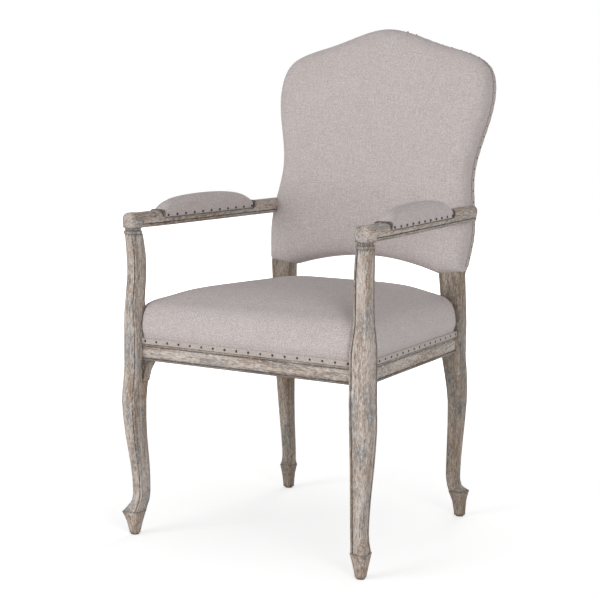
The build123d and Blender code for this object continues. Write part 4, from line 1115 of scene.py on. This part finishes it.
def trim_strip(path, outward, across, nails, section):
    """Points and faces of a folded strip along a path, drawn in at the nails and puffed out between them."""
    puff = settings().trims.puff
    vertices = []
    for step, place in enumerate(path):
        near = min((place - nail).length for nail in nails)
        lift = puff * (1 - math.exp(-((near / NAIL_PULL) ** 2)))
        # A slight waviness, as laid by hand
        wave = 0.00025 * math.sin(step * 0.9) + 0.0002 * math.sin(step * 0.37 + 1.3)
        for out, up in section:
            depth = out * MM + (lift if out > 1.0 else 0.0)
            rise = up * MM + wave * (1.0 if up > 6 else 0.4)
            vertices.append(place + outward[step] * depth + across * rise)
    return vertices, tube_faces(len(path) - 1, len(section))


def trim_band(name, node, strips):
    """One band of trim from several strips, in place of a solid."""
    vertices, faces = [], []
    for points, sides in strips:
        faces += [tuple(index + len(vertices) for index in side) for side in sides]
        vertices += points
    piece = new_piece(name, vertices, faces)
    tidy_mesh(piece)
    dressed(piece, linen(trim=True), "gimp_trim", node)


class ARMCHAIR_OT_trim_bands(Operator):
    """Make the folded linen trim round the seat and along the rear edge of the back"""

    bl_idname = "armchair.trim_bands"
    bl_label = "Trim bands"

    def execute(self, context):
        gap = 0.5
        front, rear = FRONT_FACE + TRIM_INSET, REAR_FACE - TRIM_INSET
        front_end, rear_end = FRONT_SPAN - gap, REAR_SPAN - gap
        side_front, side_rear = ((side_x(y, TRIM_INSET), y) for y in (FRONT_POST + gap, REAR_POST - gap))
        lines = (
            ((-front_end, front), (front_end, front)),
            ((rear_end, rear), (-rear_end, rear)),
            ((-side_rear[0], side_rear[1]), (-side_front[0], side_front[1])),
            (side_front, side_rear),
        )
        nails = [base - UPWARD * NAIL_LEVEL for base, _ in nail_places("seat_nails")]
        strips = []
        for start, end in lines:
            first = Vector((*start, TRIM_BOTTOM)) * MM
            last = Vector((*end, TRIM_BOTTOM)) * MM
            parts = round((last - first).length / TRIM_STEP)
            path = [first.lerp(last, part / parts) for part in range(parts + 1)]
            out = (last - first).normalized().cross(UPWARD)
            strips.append(trim_strip(path, [out] * len(path), UPWARD, nails, TRIM_SECTION))
        trim_band("seat_trim_band", "seat_trim", strips)

        side = [(x, y) for x, y in back_side(0.0, 400) if y > BACK_TRIM_START]
        path = [on_back(x, y, -BACK_DEPTH) for x, y in spread(with_mirror(side), 620)]
        middle = on_back(*BACK_CENTRE, 0.0)
        outward = []
        for index, place in enumerate(path):
            way = path[min(index + 1, len(path) - 1)] - path[max(index - 1, 0)]
            out = way.cross(BACK_FORWARD).normalized()
            outward.append(out if out.dot(place - middle) > 0 else -out)
        nails = [base - BACK_FORWARD * NAIL_LEVEL for base, _ in nail_places("back_nails")]
        thin = [(out * 0.53 + 0.05, up) for out, up in TRIM_SECTION]
        trim_band("back_trim_band", "back_trim", [trim_strip(path, outward, BACK_FORWARD, nails, thin)])
        return {"FINISHED"}


class ARMCHAIR_OT_dust_cover(Operator):
    """Make the thin black cloth that closes the underside of the seat"""

    bl_idname = "armchair.dust_cover"
    bl_label = "Dust cover"

    def execute(self, context):
        outline = seat_outline(9.0, 6.0)
        level = RAIL_BOTTOM - 0.5
        rings = domed(28, outline, level, -5.0, 1.5) + [(outline, 1.0, level)]
        corners = four_corners(242.0, -254.0, 185.0, 167.0)
        points, faces = laid_grid(rings, SEAT_CENTRE, corners, dust_room)
        piece = new_piece("dust_cover", points * MM, faces)
        tidy_mesh(piece)
        subdivided(piece)
        cloth = material_of("Dust cloth", linen_weave(), {
            "Light": settings().finishes.dust_cloth, "Dark": painted(26, 25, 26), "Threads": 900.0,
            "Slub": 0.4, "Mottle": 0.8}, bump=0.4, distance=0.0002, Specular_IOR_Level=0.2)
        dressed(piece, cloth, "dust_cloth", "seat_dust_cover")
        return {"FINISHED"}


def lay_floor(paint_colour):
    """A pale floor that keeps the chair's shadow and fades to white away from it."""
    floor = new_piece("studio_floor", [(*corner, 0) for corner in four_corners(
        FLOOR_HALF, -FLOOR_HALF, FLOOR_HALF, FLOOR_HALF)], [(0, 1, 2, 3)])
    paint = bpy.data.materials.new("Studio floor")
    paint.use_nodes = True
    tree = paint.node_tree
    shader = tree.nodes["Principled BSDF"]
    shader.inputs["Base Color"].default_value = paint_colour
    shader.inputs["Roughness"].default_value = 1.0
    shader.inputs["Specular IOR Level"].default_value = 0.0
    place = put(tree, "ShaderNodeTexCoord").outputs["Object"]
    away = put(tree, "ShaderNodeVectorMath", {0: place}, operation="LENGTH").outputs["Value"]
    strength = maths(tree, "MULTIPLY", background_rays(tree), between(tree, away, 0.7, 2.4, 0.46, 1.0))
    glow = put(tree, "ShaderNodeEmission", {"Color": WHITE, "Strength": strength})
    both = put(tree, "ShaderNodeAddShader", {0: shader.outputs[0], 1: glow.outputs[0]})
    tree.links.new(both.outputs[0], tree.nodes["Material Output"].inputs["Surface"])
    floor.data.materials.append(paint)


def light_world(scene, ambient):
    """Soft light from all round, seen as white."""
    world = bpy.data.worlds.new("Studio")
    scene.world = world
    world.use_nodes = True
    tree = world.node_tree
    tree.nodes.clear()
    power = mixed(tree, background_rays(tree), ambient, 1.0)
    sky = put(tree, "ShaderNodeBackground", {"Color": WHITE, "Strength": power})
    put(tree, "ShaderNodeOutputWorld", {"Surface": sky.outputs[0]})


def hang_lamp(scene, name, place, size, power):
    """A round soft lamp that faces the chair."""
    lamp = bpy.data.lights.new(name, "AREA")
    lamp.shape = "DISK"
    lamp.size = size
    lamp.energy = power
    holder = bpy.data.objects.new(name, lamp)
    scene.collection.objects.link(holder)
    holder.location = place
    holder.rotation_euler = (AIM - Vector(place)).to_track_quat("-Z", "Y").to_euler()


class ARMCHAIR_OT_stage(Operator):
    """Set up the floor, the soft light and the camera"""

    bl_idname = "armchair.stage"
    bl_label = "Stage"

    def execute(self, context):
        scene = context.scene
        studio = settings().studio
        scene.view_settings.view_transform = "Standard"
        lay_floor(settings().finishes.floor)
        light_world(scene, studio.ambient)
        hang_lamp(scene, "Key light", (-2.38, -5.26, 1.2), 3.8, studio.key)
        hang_lamp(scene, "Fill light", (4.2, -3.5, 1.5), 3.2, studio.key * 0.62)
        hang_lamp(scene, "Rear light", (-0.8, 5.2, 1.0), 3.2, studio.key * 0.6)

        turn, rise, roll = studio.azimuth, studio.elevation, studio.roll
        back = Vector((math.sin(turn) * math.cos(rise), -math.cos(turn) * math.cos(rise), math.sin(rise)))
        right = Vector((math.cos(turn), math.sin(turn), 0.0))
        up = back.cross(right)
        level = right * math.cos(roll) + up * math.sin(roll)
        upright = up * math.cos(roll) - right * math.sin(roll)
        lens = bpy.data.cameras.new("Camera")
        lens.lens = studio.lens
        lens.sensor_width = FILM_WIDTH
        camera = bpy.data.objects.new("Camera", lens)
        scene.collection.objects.link(camera)
        facing = Matrix((level, upright, back)).transposed().to_4x4()
        camera.matrix_world = Matrix.Translation(AIM + back * studio.distance) @ facing
        scene.camera = camera
        return {"FINISHED"}


PIECES = (
    ARMCHAIR_OT_oak_frame,
    ARMCHAIR_OT_hidden_fittings,
    ARMCHAIR_OT_seat_cushion,
    ARMCHAIR_OT_back_cushion,
    ARMCHAIR_OT_outside_back,
    ARMCHAIR_OT_arm_pads,
    ARMCHAIR_OT_trim_bands,
    ARMCHAIR_OT_dome_nails,
    ARMCHAIR_OT_dust_cover,
    ARMCHAIR_OT_stage,
)


class ARMCHAIR_PT_pieces(Panel):
    """The armchair's pieces and settings"""

    bl_idname = "ARMCHAIR_PT_pieces"
    bl_label = "Armchair"
    bl_space_type = "VIEW_3D"
    bl_region_type = "UI"
    bl_category = "Armchair"

    def draw(self, context):
        layout = self.layout
        for piece in PIECES:
            layout.operator(piece.bl_idname)
        for group in ("cushions", "trims", "finishes", "studio"):
            box = layout.box()
            holder = getattr(context.scene.armchair, group)
            for name in holder.__annotations__:
                box.prop(holder, name)


CLASSES = (CushionSizes, TrimSizes, Finishes, StudioSizes, ArmchairSettings, *PIECES, ARMCHAIR_PT_pieces)


def register():
    """Registers the settings, the operators and the panel."""
    for made in CLASSES:
        bpy.utils.register_class(made)
    bpy.types.Scene.armchair = PointerProperty(type=ArmchairSettings)


def unregister():
    """Takes the settings, the operators and the panel away again."""
    del bpy.types.Scene.armchair
    for made in reversed(CLASSES):
        bpy.utils.unregister_class(made)


def main():
    """Registers the add-on and makes every piece in order."""
    register()
    bpy.ops.armchair.oak_frame()
    bpy.ops.armchair.hidden_fittings()
    bpy.ops.armchair.seat_cushion()
    bpy.ops.armchair.back_cushion()
    bpy.ops.armchair.outside_back()
    bpy.ops.armchair.arm_pads()
    bpy.ops.armchair.trim_bands()
    bpy.ops.armchair.dome_nails()
    bpy.ops.armchair.dust_cover()
    bpy.ops.armchair.stage()


if __name__ == "__main__":
    main()
